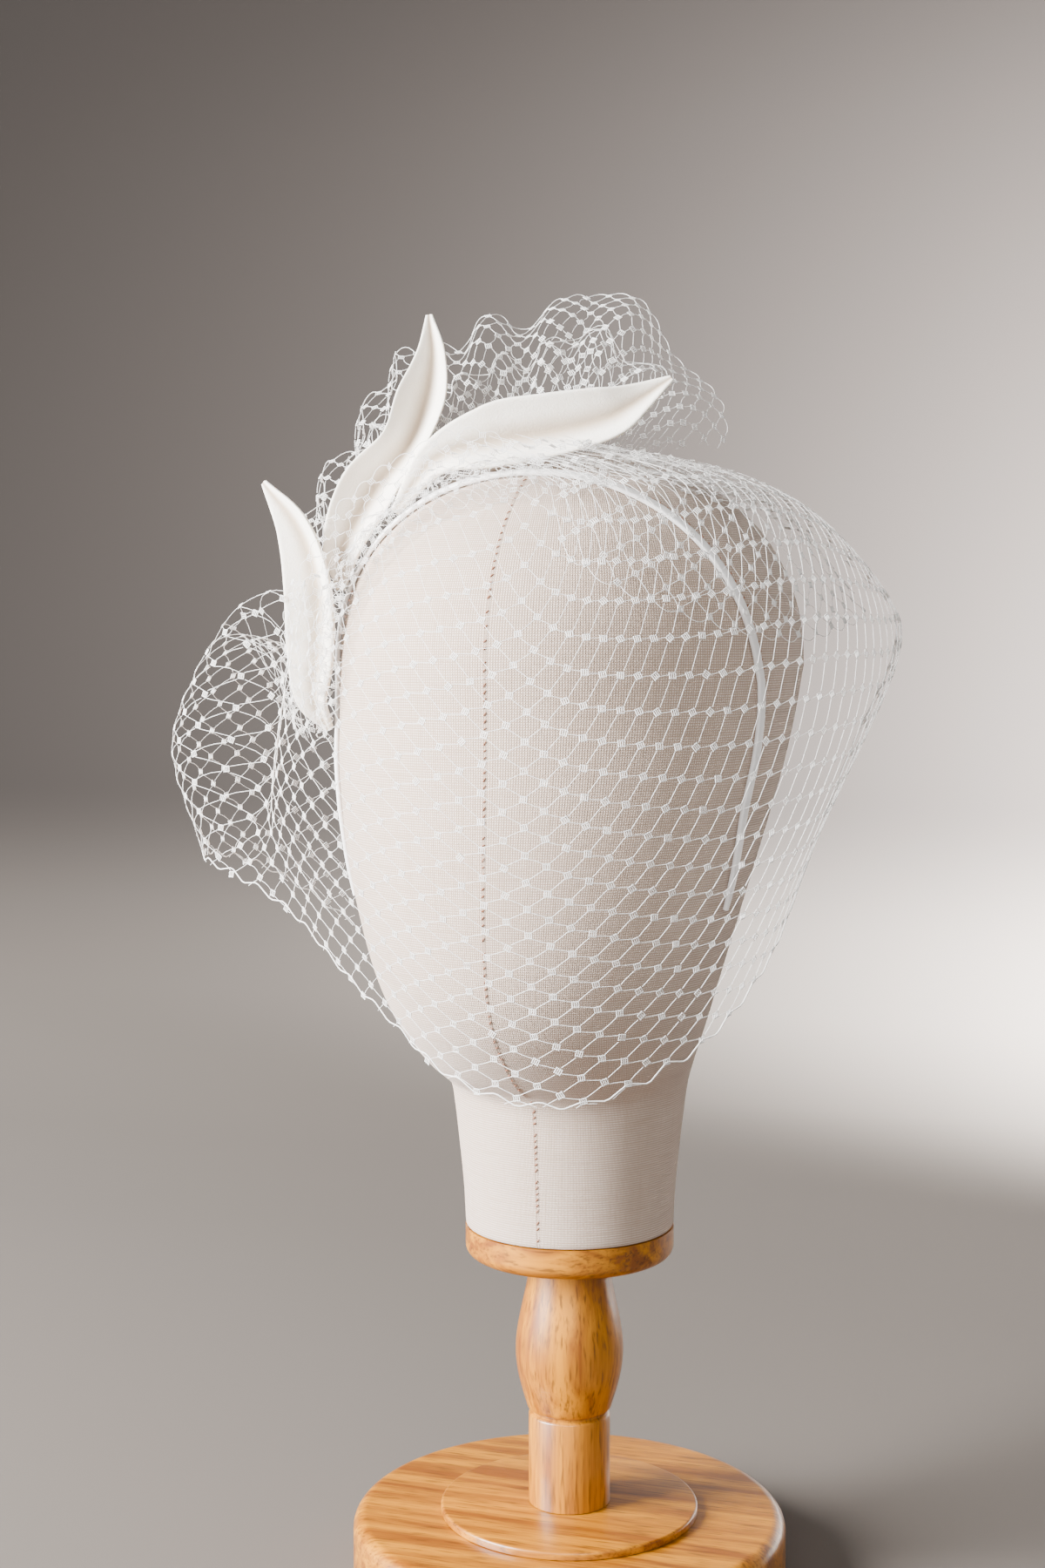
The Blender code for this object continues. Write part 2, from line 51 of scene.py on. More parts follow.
# Sizes that the CAD gives
BASE_RADIUS, BASE_HEIGHT = 76.5, 24.0
COLLAR_RADIUS, COLLAR_TOP = 45.5, 27.0
POST_RADIUS, POST_TOP = 14.4, 58.5
BULB_FOOT, BULB_FOOT_RADIUS, BULB_MIDDLE, BULB_RADIUS = 61.5, 14.8, 82.0, 19.0
SPINDLE_TOP, SPINDLE_TOP_RADIUS = 116.0, 14.0
PLATE_RADIUS, PLATE_TOP = 36.6, 127.0
HEAD_SECTIONS = (
    # height, forward of the stand, half width, half depth
    (127.3, 0.0, 36.4, 36.4),
    (142.0, 0.0, 37.2, 37.2),
    (160.0, 0.0, 39.0, 39.0),
    (174.0, 0.0, 40.7, 40.7),
    (178.5, 0.5, 41.5, 42.0),
    (182.0, 3.5, 42.8, 46.0),
    (186.0, 7.5, 44.6, 50.0),
    (191.0, 11.5, 46.8, 53.5),
    (198.0, 16.0, 49.8, 57.5),
    (207.0, 20.5, 53.3, 61.5),
    (221.0, 23.8, 58.0, 65.0),
    (240.0, 23.5, 63.6, 68.3),
    (259.0, 20.5, 68.7, 71.5),
    (288.0, 10.5, 75.0, 80.0),
    (306.0, 2.0, 77.2, 88.0),
    (323.0, -5.0, 78.5, 95.5),
)
CROWN_HEIGHT, CROWN_FULLNESS, CROWN_BACKWARD = 396.0, 2.15, 3.0
BAND_CENTRE, BAND_WIDTH, BAND_THICK, BAND_REST = 318.0, 3.6, 1.6, 0.4
BAND_TOP_FORWARD, BAND_SIDE_FORWARD, BAND_LEG_FORWARD, BAND_END_TURN = 47.0, 31.0, 39.0, 139.0
HEADING_ROWS = (
    # turn on the band, forward of the band, half width, half height
    (-106.0, 9.0, 2.0, 1.8),
    (-96.0, 15.0, 2.8, 2.2),
    (-84.0, 19.0, 4.6, 2.8),
    (-64.0, 16.0, 5.4, 2.8),
    (-42.0, 12.0, 5.2, 2.6),
    (-20.0, 9.0, 4.8, 2.8),
    (0.0, 7.6, 4.4, 2.8),
    (16.0, 6.6, 3.6, 2.5),
    (27.0, 5.4, 2.0, 1.8),
)
HEADING_GATHER_DEPTH = 0.8
VEIL_AXIS_FORWARD = 10.0
FACE_FOLDS = (
    # turn round the head, turn on the band, shoulder reach, height, belly reach, height, hem reach, height
    (-118.0, -92.0, 100.0, 320.0, 112.0, 280.0, 112.0, 222.0),
    (-103.0, -99.0, 110.0, 328.0, 126.0, 295.0, 126.0, 245.0),
    (-88.0, -104.0, 113.0, 333.0, 135.0, 300.0, 129.0, 254.0),
    (-77.0, -106.0, 114.0, 335.0, 136.0, 298.0, 125.0, 256.0),
    (-70.0, -98.0, 107.0, 345.0, 125.0, 296.0, 121.0, 255.0),
    (-64.0, -86.0, 93.0, 350.0, 101.0, 287.0, 112.0, 252.0),
    (-52.0, -71.0, 88.0, 351.0, 101.0, 286.0, 96.0, 242.0),
    (-37.0, -58.0, 86.0, 358.0, 103.0, 289.0, 90.0, 228.0),
    (-19.0, -44.0, 86.0, 366.0, 108.0, 291.0, 90.0, 212.0),
    (0.0, -30.0, 86.0, 372.0, 115.0, 292.0, 98.0, 196.0),
    (18.0, -16.0, 86.0, 374.0, 119.0, 294.0, 104.0, 192.0),
    (38.0, -3.0, 86.0, 375.0, 118.0, 298.0, 102.0, 204.0),
    (58.0, 7.0, 86.0, 376.0, 115.0, 308.0, 95.0, 227.0),
    (78.0, 14.0, 85.0, 376.0, 113.0, 321.0, 91.0, 260.0),
    (98.0, 20.0, 82.5, 375.0, 114.0, 335.0, 99.0, 298.0),
    (118.0, 24.0, 79.0, 372.5, 115.0, 346.0, 121.0, 332.0),
)
FACE_REAR_TURN, FACE_REAR_SPREAD, FACE_REAR_SHIFT, FACE_REAR_LIFT = -75.0, 28.0, 22.0, 5.0
FACE_OVER_FLAP = 5.6
FLAP_FOLDS = (
    # turn round the head, turn on the band, middle reach, height, hem reach, height
    (14.0, -8.0, 60.0, 381.0, 70.5, 363.0),
    (24.0, -1.0, 64.0, 378.0, 78.0, 351.0),
    (42.0, 6.0, 66.5, 377.5, 81.0, 340.0),
    (60.0, 11.0, 68.0, 377.5, 81.0, 334.0),
    (82.0, 16.0, 71.0, 377.5, 85.0, 331.0),
    (100.0, 19.0, 77.0, 373.5, 95.0, 335.0),
    (116.0, 21.5, 84.0, 367.0, 109.0, 341.0),
)
RUFFLE_FOLDS = (
    # turn on the band, edge to the left, forward, height, bow
    (-76.0, -97.0, 16.0, 362.0, 10.0),
    (-62.0, -92.0, 8.0, 382.0, 12.0),
    (-50.0, -80.0, -2.0, 405.0, 10.0),
    (-38.0, -68.0, -6.0, 428.0, 12.0),
    (-27.0, -55.0, -3.0, 436.0, 13.0),
    (-18.0, -42.0, 2.0, 435.0, 14.0),
    (-10.0, -28.0, -4.0, 443.0, 16.0),
    (-2.0, -12.0, -8.0, 443.0, 16.0),
    (5.0, 2.0, -18.0, 455.0, 18.0),
    (11.0, 18.0, -20.0, 447.0, 18.0),
    (16.0, 33.0, -17.0, 434.0, 15.0),
    (21.0, 47.0, -11.0, 414.0, 10.0),
    (25.0, 54.0, -4.0, 395.0, 7.0),
)
LEAF_THICK = 2.6
LEAF_ROOT = 1.6
LEAF_CREASE = 1.8
LEAF_LOW = (
    # along, left, forward, height, half width, fold
    (0.12, -79.0, 40.0, 311.0, 6.5, 2.0),
    (0.35, -76.4, 45.0, 328.0, 10.0, 3.0),
    (0.6, -75.4, 48.0, 349.0, 9.8, 4.0),
    (0.82, -82.9, 44.5, 369.0, 6.8, 3.0),
    (1.0, -97.0, 39.5, 385.0, 1.2, 0.4),
)
LEAF_MIDDLE = (
    (0.15, -66.4, 43.0, 363.0, 7.0, 2.5),
    (0.35, -58.2, 40.0, 381.0, 9.8, 5.0),
    (0.55, -45.4, 40.0, 396.0, 7.8, 5.0),
    (0.75, -40.0, 36.0, 412.0, 8.5, 5.0),
    (0.9, -38.3, 33.0, 427.0, 5.0, 2.5),
    (1.0, -40.0, 31.0, 440.0, 1.2, 0.4),
)
LEAF_TOP = (
    (0.15, -33.0, 46.5, 390.5, 6.0, 1.0),
    (0.4, -13.0, 44.5, 397.0, 11.0, 4.0),
    (0.62, 5.0, 40.5, 400.0, 11.0, 4.5),
    (0.82, 23.5, 35.0, 404.5, 9.0, 3.5),
    (0.93, 33.5, 30.0, 410.5, 5.0, 1.5),
    (1.0, 42.5, 27.0, 416.5, 1.2, 0.3),
)

# The net: diamonds of single nylon threads that cross in a woven knot. Each row lies NET_SIDE over
# the one below near the heading, and by the step that its base gives lower down.
THREAD_RADIUS = 0.105
KNOT_WEIGHT = 1.7
CRUSHED_KNOT_SHARE = 0.6
NET_SIDE = 8.4
HEADING_NET_SIDE = 4.4
KNOT_HALF_WIDE = 0.95
KNOT_HALF_TALL = 1.05
SLOPE_LIMIT = 0.8
HEM_ZIGZAG = 2.6
FACE_NET_BASE = (
    # share across, rise of the lowest row above the hem, rise of each next row
    (0.0, -50.0, 5.0),
    (0.2, -70.0, 5.0),
    (0.32, -44.0, 5.0),
    (0.45, -14.0, 4.4),
    (0.56, -4.0, 3.8),
    (0.66, 0.0, 3.9),
    (0.8, 0.0, 4.3),
    (1.0, 0.0, 4.3),
)
LEVEL_NET_BASE = ((0.0, 0.0, 5.0), (1.0, 0.0, 5.0))
RUFFLE_NET_BASE = ((0.0, 0.0, 4.6), (1.0, 0.0, 4.6))
HEADING_NET_BASE = ((0.0, 0.0, 3.2), (1.0, 0.0, 3.2))
NO_LEAN = 2.0
NET_ROW_LIMIT = 120
NET_LEAN = 0.55
EVEN_OUT_TIMES = 10
KNOT_JITTER = 0.04
KNOT_TURN_SPREAD = 0.2
THREAD_BOW, THREAD_BOW_SPREAD = 0.12, 0.22

# Clearances of the gathered cloth
HEADING_REST, FACE_CLEAR, FLAP_CLEAR = 0.9, 0.8, 1.4

# Solids are stacked this far apart, and the turned necking over the post is this slim
STACK_GAP, NECKING_RADIUS = 0.3, 13.2

# Seams of the linen: heights of the face's and the neck's, and the one behind the headband
FACE_SEAM, NECK_SEAM = (181.0, 383.0), (128.0, 179.0)
BAND_SEAM_BEHIND, BAND_SEAM_START, BAND_SEAM_TURN = 4.2, 1.0, 137.0

# How far a UV map runs in metres: round and up the leaf, round the head, along and round the band
LEAF_MAP_ROUND, LEAF_MAP_LONG, HEAD_MAP_ROUND = 0.05, 0.09, 0.46
BAND_MAP_LONG, BAND_MAP_ROUND = 0.42, 0.013
BAND_SCALE = 0.314   # a Wave texture of this scale has one band to a metre

# The studio in metres, and the camera: the stand's axis lies 55 pixels to the right of the photo's
# middle and the horizon 170 above it, at a focal length of 2500 pixels
FLOOR_END, SWEEP_RADIUS, SWEEP_RUN, SWEEP_SHIFT = 0.5, 0.9, 1.4, 1.6
CAMERA_PLACE, CAMERA_TURN = (0.22074, -0.72201, 0.333), 17.0
AXIS_ASIDE, HORIZON_ABOVE, FOCAL_PIXELS = 55.0, 170.0, 2500.0


def read_row(rows, key):
    """The other columns of a table at a key between its rows, on a smooth curve."""
    key = min(max(key, rows[0][0]), rows[-1][0])
    at = max(i for i in range(len(rows) - 1) if rows[i][0] <= key)
    low = rows[at]
    high = rows[at + 1]
    step = high[0] - low[0]
    t = (key - low[0]) / step
    values = []
    for column in range(1, len(low)):
        slopes = []
        for i in (at, at + 1):
            before = rows[max(i - 1, 0)]
            after = rows[min(i + 1, len(rows) - 1)]
            slopes.append(step * (after[column] - before[column]) / (after[0] - before[0]))
        start = low[column] * (2 * t ** 3 - 3 * t ** 2 + 1) + slopes[0] * (t ** 3 - 2 * t ** 2 + t)
        end = high[column] * (3 * t ** 2 - 2 * t ** 3) + slopes[1] * (t ** 3 - t ** 2)
        values.append(start + end)
    return values


def along_points(points, share):
    """The point at a share of the length of a smooth curve through some points."""
    rows = [(0.0, *points[0])]
    for before, after in zip(points, points[1:]):
        rows.append((rows[-1][0] + (after - before).length, *after))
    return Vector(read_row(rows, share * rows[-1][0]))


def smooth_step(value):
    """Rise from 0 to 1 with level ends."""
    value = min(max(value, 0.0), 1.0)
    return value * value * (3.0 - 2.0 * value)


def head_section(height):
    """Forward place, half width and half depth of the head at a height."""
    widest, forward, half_width, half_depth = HEAD_SECTIONS[-1]
    if height <= widest:
        return read_row(HEAD_SECTIONS, height)
    rise = min((height - widest) / (CROWN_HEIGHT - widest), 1.0)
    share = (1.0 - rise ** CROWN_FULLNESS) ** (1.0 / CROWN_FULLNESS)
    return [forward - CROWN_BACKWARD * rise, half_width * share, half_depth * share]


def head_level(point):
    """How far a point is outside the head, as a share of its section."""
    if point.z >= CROWN_HEIGHT - 0.01:
        return 1.0
    forward, half_width, half_depth = head_section(point.z)
    return hypot(point.x / half_width, (-point.y - forward) / half_depth) - 1.0


def head_normal(point):
    """Outward direction of the head's surface at a point on it."""
    step = 0.5
    across = Vector((step, 0.0, 0.0))
    deep = Vector((0.0, step, 0.0))
    up = Vector((0.0, 0.0, step))
    slope = Vector((
        head_level(point + across) - head_level(point - across),
        head_level(point + deep) - head_level(point - deep),
        head_level(point + up) - head_level(point - up),
    ))
    return slope.normalized()


@lru_cache(maxsize=None)
def on_head(forward, turn, lift):
    """The point over the head's surface in an upright plane, at a turn from the crown."""
    centre = Vector((0.0, -forward, BAND_CENTRE))
    way = Vector((sin(radians(turn)), 0.0, cos(radians(turn))))
    inner = 5.0
    outer = 130.0
    for _ in range(40):
        middle = (inner + outer) / 2
        if head_level(centre + way * middle) > 0.0:
            outer = middle
        else:
            inner = middle
    surface = centre + way * outer
    normal = head_normal(surface)
    return surface + normal * lift, normal


def band_forward(turn):
    """How far forward the headband runs at a turn from the crown."""
    share = min(abs(turn) / 90.0, 1.0)
    upper = BAND_TOP_FORWARD + (BAND_SIDE_FORWARD - BAND_TOP_FORWARD) * share ** 2
    lower = smooth_step((abs(turn) - 95.0) / 30.0)
    return upper + (BAND_LEG_FORWARD - BAND_SIDE_FORWARD) * lower


def band_frame(turn, lift):
    """Place, outward way and sideways way on the headband's route."""
    place, normal = on_head(band_forward(turn), turn, lift)
    ahead, _ = on_head(band_forward(turn + 0.5), turn + 0.5, lift)
    behind, _ = on_head(band_forward(turn - 0.5), turn - 0.5, lift)
    along = (ahead - behind).normalized()
    side = along.cross(normal).normalized()
    return place, side.cross(along).normalized(), side


@lru_cache(maxsize=None)
def heading_frame(turn):
    """Middle, outward way, forward way, half width and half height of the gathered heading."""
    forward, half_width, half_height = read_row(HEADING_ROWS, turn)
    lift = BAND_THICK + HEADING_REST + half_height + HEADING_GATHER_DEPTH
    middle, normal = on_head(band_forward(turn) + forward, turn, lift)
    ahead, _ = on_head(band_forward(turn + 0.5) + forward, turn + 0.5, lift)
    along = (ahead - middle).normalized()
    side = along.cross(normal).normalized()
    if side.y > 0:
        side = -side
    return middle, normal, side, half_width, half_height


def round_head(turn, reach, height):
    """A point at a turn, a reach from the veil's upright axis and a height."""
    angle = radians(turn)
    return Vector((reach * sin(angle), -VEIL_AXIS_FORWARD - reach * cos(angle), height))


def face_route(across):
    """The line of the front tier from heading to hem, at a share of the way from ear to ear."""
    first = FACE_FOLDS[0][0]
    turn = first + (FACE_FOLDS[-1][0] - first) * across
    row = read_row(FACE_FOLDS, turn)
    band_turn, shoulder, shoulder_height, belly, belly_height, hem, hem_height = row
    middle, normal, side, _, half_height = heading_frame(band_turn)
    lift = half_height + HEADING_GATHER_DEPTH + FACE_CLEAR + FLAP_CLEAR
    rear = smooth_step((FACE_REAR_TURN - turn) / FACE_REAR_SPREAD)
    lift += FACE_REAR_LIFT * rear + FACE_OVER_FLAP * smooth_step((turn + 10.0) / 20.0)
    return (
        middle + normal * lift - side * (FACE_REAR_SHIFT * rear),
        round_head(turn, shoulder, shoulder_height),
        round_head(turn, belly, belly_height),
        round_head(turn, hem, hem_height),
    )


def flap_route(across):
    """The line of the short tier over the right of the crown, from heading to hem."""
    first = FLAP_FOLDS[0][0]
    turn = first + (FLAP_FOLDS[-1][0] - first) * across
    band_turn, middle_reach, middle_height, hem, hem_height = read_row(FLAP_FOLDS, turn)
    middle, normal, _, _, half_height = heading_frame(band_turn)
    start = middle + normal * (half_height + HEADING_GATHER_DEPTH + FLAP_CLEAR)
    bend = round_head(turn, middle_reach, middle_height)
    crown = (start + bend) / 2 + Vector((0.0, 0.0, 2.0 * smooth_step(turn / 60.0)))
    return start, crown, bend, round_head(turn, hem, hem_height)


def ruffle_route(across):
    """The line of the tier behind the leaves, from the headband up to its free edge."""
    first = RUFFLE_FOLDS[0][0]
    band_turn = first + (RUFFLE_FOLDS[-1][0] - first) * across
    left, forward, height, bow = read_row(RUFFLE_FOLDS, band_turn)
    behind = 7.0 + 8.0 * smooth_step((band_turn + 30.0) / 20.0)
    start, normal = on_head(band_forward(band_turn) - behind, band_turn, 1.3)
    edge = Vector((left, -forward, height))
    out = ((start + edge) / 2 - Vector((0.0, -30.0, BAND_CENTRE))).normalized()
    return start, (start + edge) / 2 + out * bow, edge


def inner_ruffle_route(across):
    """The line of the ruffle's shorter second layer, in front of the first."""
    start, bend, edge = ruffle_route(0.04 + 0.9 * across)
    low = 0.74 - 0.1 * sin(pi * across) ** 2
    forward = Vector((0.0, -5.0, 0.0))
    return (
        start + forward * 0.4,
        start.lerp(bend, low * 1.1) + forward,
        start.lerp(edge, low) + forward * 1.3,
    )


class Cloth:
    """A gathered cloth: places at a share across it, and at a rise in millimetres above its hem."""

    def __init__(self, route, columns, rows, gathers, heading_depth, hem_depth):
        """Lay the cloth along its fold lines, with gathers at the heading and waves at the hem."""
        self.columns = columns
        self.rows = rows
        flat = []
        for i in range(columns + 1):
            points = route(i / columns)
            flat.append([along_points(points, j / rows) for j in range(rows, -1, -1)])
        self.table = []
        self.lengths = []
        for i in range(columns + 1):
            column = []
            wave = sin(2 * pi * gathers * i / columns)
            for j in range(rows + 1):
                across = flat[min(i + 1, columns)][j] - flat[max(i - 1, 0)][j]
                up = flat[i][min(j + 1, rows)] - flat[i][max(j - 1, 0)]
                normal = across.cross(up).normalized()
                down = 1.0 - j / rows
                depth = heading_depth * (1.0 - smooth_step(down / 0.45))
                depth += hem_depth * smooth_step(down)
                column.append(flat[i][j] + normal * (depth * wave))
            self.table.append(column)
            steps = zip(flat[i], flat[i][1:])
            self.lengths.append(sum((after - before).length for before, after in steps))

    def length(self, across):
        """From hem to heading at a share across."""
        x = min(max(across, 0.0), 1.0) * self.columns
        i = min(int(x), self.columns - 1)
        return self.lengths[i] + (self.lengths[i + 1] - self.lengths[i]) * (x - i)

    def place(self, across, rise):
        """A point on the cloth, carried on straight past its edges."""
        x = across * self.columns
        y = rise / self.length(across) * self.rows
        i = min(max(int(x), 0), self.columns - 1)
        j = min(max(int(y), 0), self.rows - 1)
        lower = self.table[i][j].lerp(self.table[i + 1][j], x - i)
        upper = self.table[i][j + 1].lerp(self.table[i + 1][j + 1], x - i)
        return lower.lerp(upper, y - j)

    def scales(self, across, rise):
        """Ways along a row and up a fold line, each as millimetres moved for a step of 1."""
        along = (self.place(across + 0.006, rise) - self.place(across - 0.006, rise)) / 0.012
        return along, (self.place(across, rise + 1.0) - self.place(across, rise - 1.0)) / 2

    def frame(self, across, rise):
        """Place, way along the row, way up and outward way at a point on the cloth."""
        along, up = self.scales(across, rise)
        normal = along.cross(up).normalized()
        along.normalize()
        return self.place(across, rise), along, normal.cross(along), normal

    def hem_share(self, part):
        """The share across at a part of the hem's own length, carried on evenly past its ends."""
        hem = [0.0]
        for before, after in zip(self.table, self.table[1:]):
            hem.append(hem[-1] + (after[0] - before[0]).length)
        if not 0.0 <= part <= 1.0:
            return part
        sought = part * hem[-1]
        i = max(n for n in range(self.columns) if hem[n] <= sought)
        return (i + (sought - hem[i]) / (hem[i + 1] - hem[i])) / self.columns

    def holds(self, across, rise):
        """Whether the cloth reaches a point."""
        return 0.0 <= across <= 1.0 and 0.0 <= rise <= self.length(across)


def even_out(knots, times):
    """Knots drawn towards the middle of their four neighbours, as the threads' pull does."""
    for _ in range(times):
        moved = {}
        for (i, k), (across, rise) in knots.items():
            near = [knots.get((i + a, k + b)) for a, b in ((-1, -1), (1, -1), (-1, 1), (1, 1))]
            if k < 2 or None in near:
                moved[i, k] = (across, rise)
                continue
            moved[i, k] = (
                across * 0.5 + sum(a for a, r in near) * 0.125,
                rise * 0.5 + sum(r for a, r in near) * 0.125,
            )
        knots = moved
    return knots


def lay_net(cloth, columns, side, base, lean_from, lean_reach, seed):
    """Where a diamond net's knots lie on a cloth, counted in half diamonds across and up.

    The base gives the lowest row's rise, which may lie below the hem, and the next rows' step, for
    shares across. The step turns into the side towards the heading. Past a share across, each row
    lies more and more square over the one below.
    """
    random = Random(seed)
    extra = columns // 2
    count = 2 * columns + 2 * extra + 1
    across = [cloth.hem_share((n - extra) / (2 * columns)) for n in range(count)]
    rise = [read_row(base, a)[0] for a in across]
    knots = {}
    k = 0
    while k < NET_ROW_LIMIT:
        for n in range(count):
            if (n - extra + k) % 2 == 0:
                loose = min(k, 1)
                knots[n - extra, k] = (
                    across[n] + random.uniform(-KNOT_JITTER, KNOT_JITTER) / columns * loose,
                    rise[n] + random.uniform(-KNOT_JITTER, KNOT_JITTER) * side * loose,
                )
        if k and all(r > cloth.length(a) for a, r in zip(across, rise) if 0.0 <= a <= 1.0):
            break
        next_across = across[:]
        next_rise = rise[:]
        for n in range(1, count - 1):
            row = cloth.place(across[n + 1], rise[n + 1]) - cloth.place(across[n - 1], rise[n - 1])
            step = read_row(base, across[n])[1]
            step += (side - step) * smooth_step((rise[n] / cloth.length(across[n]) - 0.6) / 0.4)
            if k == 0 and rise[n] >= 0.0:
                step = HEM_ZIGZAG
            along, up = cloth.scales(across[n], rise[n])
            row.normalize()
            slope = min(max(up.dot(row) / up.length, -SLOPE_LIMIT), SLOPE_LIMIT)
            lean = NET_LEAN * smooth_step((across[n] - lean_from) / 0.25)
            lean *= 1.0 - smooth_step(rise[n] / cloth.length(across[n]) / lean_reach)
            way = (up.normalized() - row * (slope * lean)) * (step / sqrt(1.0 - slope ** 2))
            mixed = along.dot(up)
            whole = along.dot(along) * up.dot(up) - mixed ** 2
            next_across[n] += (way.dot(along) * up.dot(up) - way.dot(up) * mixed) / whole
            next_rise[n] += (way.dot(up) * along.dot(along) - way.dot(along) * mixed) / whole
        for n, m in ((0, 1), (count - 1, count - 2)):
            next_across[n] = across[n] + next_across[m] - across[m]
            next_rise[n] = rise[n] + next_rise[m] - rise[m]
        across = next_across
        rise = next_rise
        k += 1
    return even_out(knots, EVEN_OUT_TIMES)


def thread_between(cloth, start, end, bow):
    """The route of a thread from corner to corner of two knots, as far as the cloth reaches."""
    begin = 0.0
    finish = 1.0
    inside = [cloth.holds(*start), cloth.holds(*end)]
    if not any(inside):
        return None
    if not all(inside):
        kept = 0.0 if inside[0] else 1.0
        lost = 1.0 - kept
        for _ in range(8):
            share = (kept + lost) / 2
            across = start[0] + (end[0] - start[0]) * share
            if cloth.holds(across, start[1] + (end[1] - start[1]) * share):
                kept = share
            else:
                lost = share
        begin, finish = (0.0, kept) if inside[0] else (kept, 1.0)
    if finish - begin < 0.1:
        return None
    chord = cloth.place(*end) - cloth.place(*start)
    points = []
    for step in range(4):
        share = begin + (finish - begin) * step / 3
        across = start[0] + (end[0] - start[0]) * share
        place, _, _, normal = cloth.frame(across, start[1] + (end[1] - start[1]) * share)
        points.append(place + normal.cross(chord).normalized() * (bow * 4.0 * share * (1.0 - share)))
    return points


def knot_threads(place, along, up, turn, half_width):
    """Short threads of one woven knot: four wraps side by side between two cross threads."""
    wide = along * cos(turn) + up * sin(turn)
    tall = up * cos(turn) - along * sin(turn)
    routes = []
    for share in (-1.0, -0.33, 0.33, 1.0):
        middle = place + wide * (share * half_width)
        routes.append([middle - tall * KNOT_HALF_TALL, middle + tall * KNOT_HALF_TALL])
    for share in (-0.8, 0.8):
        middle = place + tall * (share * KNOT_HALF_TALL)
        routes.append([middle - wide * half_width, middle + wide * half_width])
    return routes


def selvedge(cloth, knots, arched, weight):
    """The heavier cord along the hem through the lowest two rows of knots, zigzag or in arches."""
    points = []
    count = max(i for i, k in knots)
    for i in range(count + 1):
        across, rise = knots[i, i % 2]
        if 0.0 <= across <= 1.0:
            points.append(cloth.place(across, rise if rise >= 0.0 else i % 2 * HEM_ZIGZAG))
    eased = []
    if arched:
        for before, top, after in zip(points[1::2], points[2::2], points[3::2]):
            control = top * 2.0 - (before + after) / 2.0
            for share in (0.0, 0.15, 0.32, 0.5, 0.68, 0.85):
                eased.append(before.lerp(control, share).lerp(control.lerp(after, share), share))
        return [(eased, weight)]
    for before, after in zip(points, points[1:]):
        for share in (0.12, 0.37, 0.63, 0.88):
            eased.append(before.lerp(after, share))
    return [(eased, weight)]


def knot_width(cloth, knots, i, k):
    """Half a knot's width, drawn in where the gathers bring its neighbours close."""
    spot = knots[i, k]
    other = knots.get((i + 2, k)) or knots.get((i - 2, k))
    if other is None:
        return KNOT_HALF_WIDE
    return min(KNOT_HALF_WIDE, cloth.scales(*spot)[0].length * abs(other[0] - spot[0]) * 0.2)


def net_threads(cloth, knots, seed, arched, hem_weight, loose):
    """Routes of all threads of a net, each with its thickness as a share of the usual.

    Below 1, loose draws the threads straighter past the first third of the way across. Above 1
    it bows them more, as in the crushed heading, whose knots are smaller too.
    """
    knot_weight = KNOT_WEIGHT * (1.0 if loose <= 1.0 else CRUSHED_KNOT_SHARE)
    random = Random(seed)
    routes = selvedge(cloth, knots, arched, hem_weight)
    for (i, k), spot in knots.items():
        half_width = knot_width(cloth, knots, i, k)
        shift = half_width / cloth.scales(*spot)[0].length
        near_heading = smooth_step((spot[1] / cloth.length(spot[0]) - 0.5) / 0.4)
        slack = 1.0 - (1.0 - near_heading) * (1.0 - loose) * smooth_step((spot[0] - 0.3) / 0.2)
        for side in (-1, 1):
            other = knots.get((i + side, k + 1))
            if other is None or (k == 0 and spot[1] >= 0.0):
                continue
            drop = min(KNOT_HALF_TALL, (other[1] - spot[1]) * 0.3)
            start = (spot[0] + side * shift, spot[1] + drop)
            end = (other[0] - side * shift, other[1] - drop)
            bow = random.gauss(THREAD_BOW * side, THREAD_BOW_SPREAD) * slack
            route = thread_between(cloth, start, end, bow)
            if route:
                routes.append((route, 1.0 - 0.45 * near_heading))
        if k > 0 and cloth.holds(*spot):
            place, along, up, _ = cloth.frame(*spot)
            turn = random.gauss(0.0, KNOT_TURN_SPREAD)
            for route in knot_threads(place, along, up, turn, half_width):
                routes.append((route, knot_weight * (1.0 - 0.3 * near_heading)))
    return routes


def srgb(code):
    """Linear colour from an sRGB hex value."""
    channels = [int(code[i:i + 2], 16) / 255 for i in (1, 3, 5)]
    return (*[c / 12.92 if c <= 0.04045 else ((c + 0.055) / 1.055) ** 2.4 for c in channels], 1.0)


def add_node(material, kind, settings, inputs):
    """Add a node with its settings, and its inputs as values or as another node's output."""
    tree = material.node_tree
    node = tree.nodes.new(kind)
    for name, value in settings.items():
        setattr(node, name, value)
    for name, value in inputs.items():
        if isinstance(value, bpy.types.NodeSocket):
            tree.links.new(value, node.inputs[name])
        else:
            node.inputs[name].default_value = value
    return node


def mix_colours(material, factor, first, second):
    """A colour between two, each a hex value or another node's output."""
    ends = [srgb(end) if isinstance(end, str) else end for end in (first, second)]
    node = add_node(material, "ShaderNodeMix", {"data_type": "RGBA"}, {
        0: factor, 6: ends[0], 7: ends[1]})
    return node.outputs[2]


def add_noise(material, vector, scale, detail, **more):
    """Noise at a scale in cells to a metre."""
    return add_node(material, "ShaderNodeTexNoise", {}, {
        "Vector": vector, "Scale": scale, "Detail": detail, **more})


def drawn_noise(material, vector, scales, detail, **more):
    """Noise drawn out by a scale for each axis, in cells to a metre."""
    drawn = add_node(material, "ShaderNodeMapping", {}, {"Vector": vector, "Scale": scales})
    return add_noise(material, drawn.outputs["Vector"], 1.0, detail, **more)


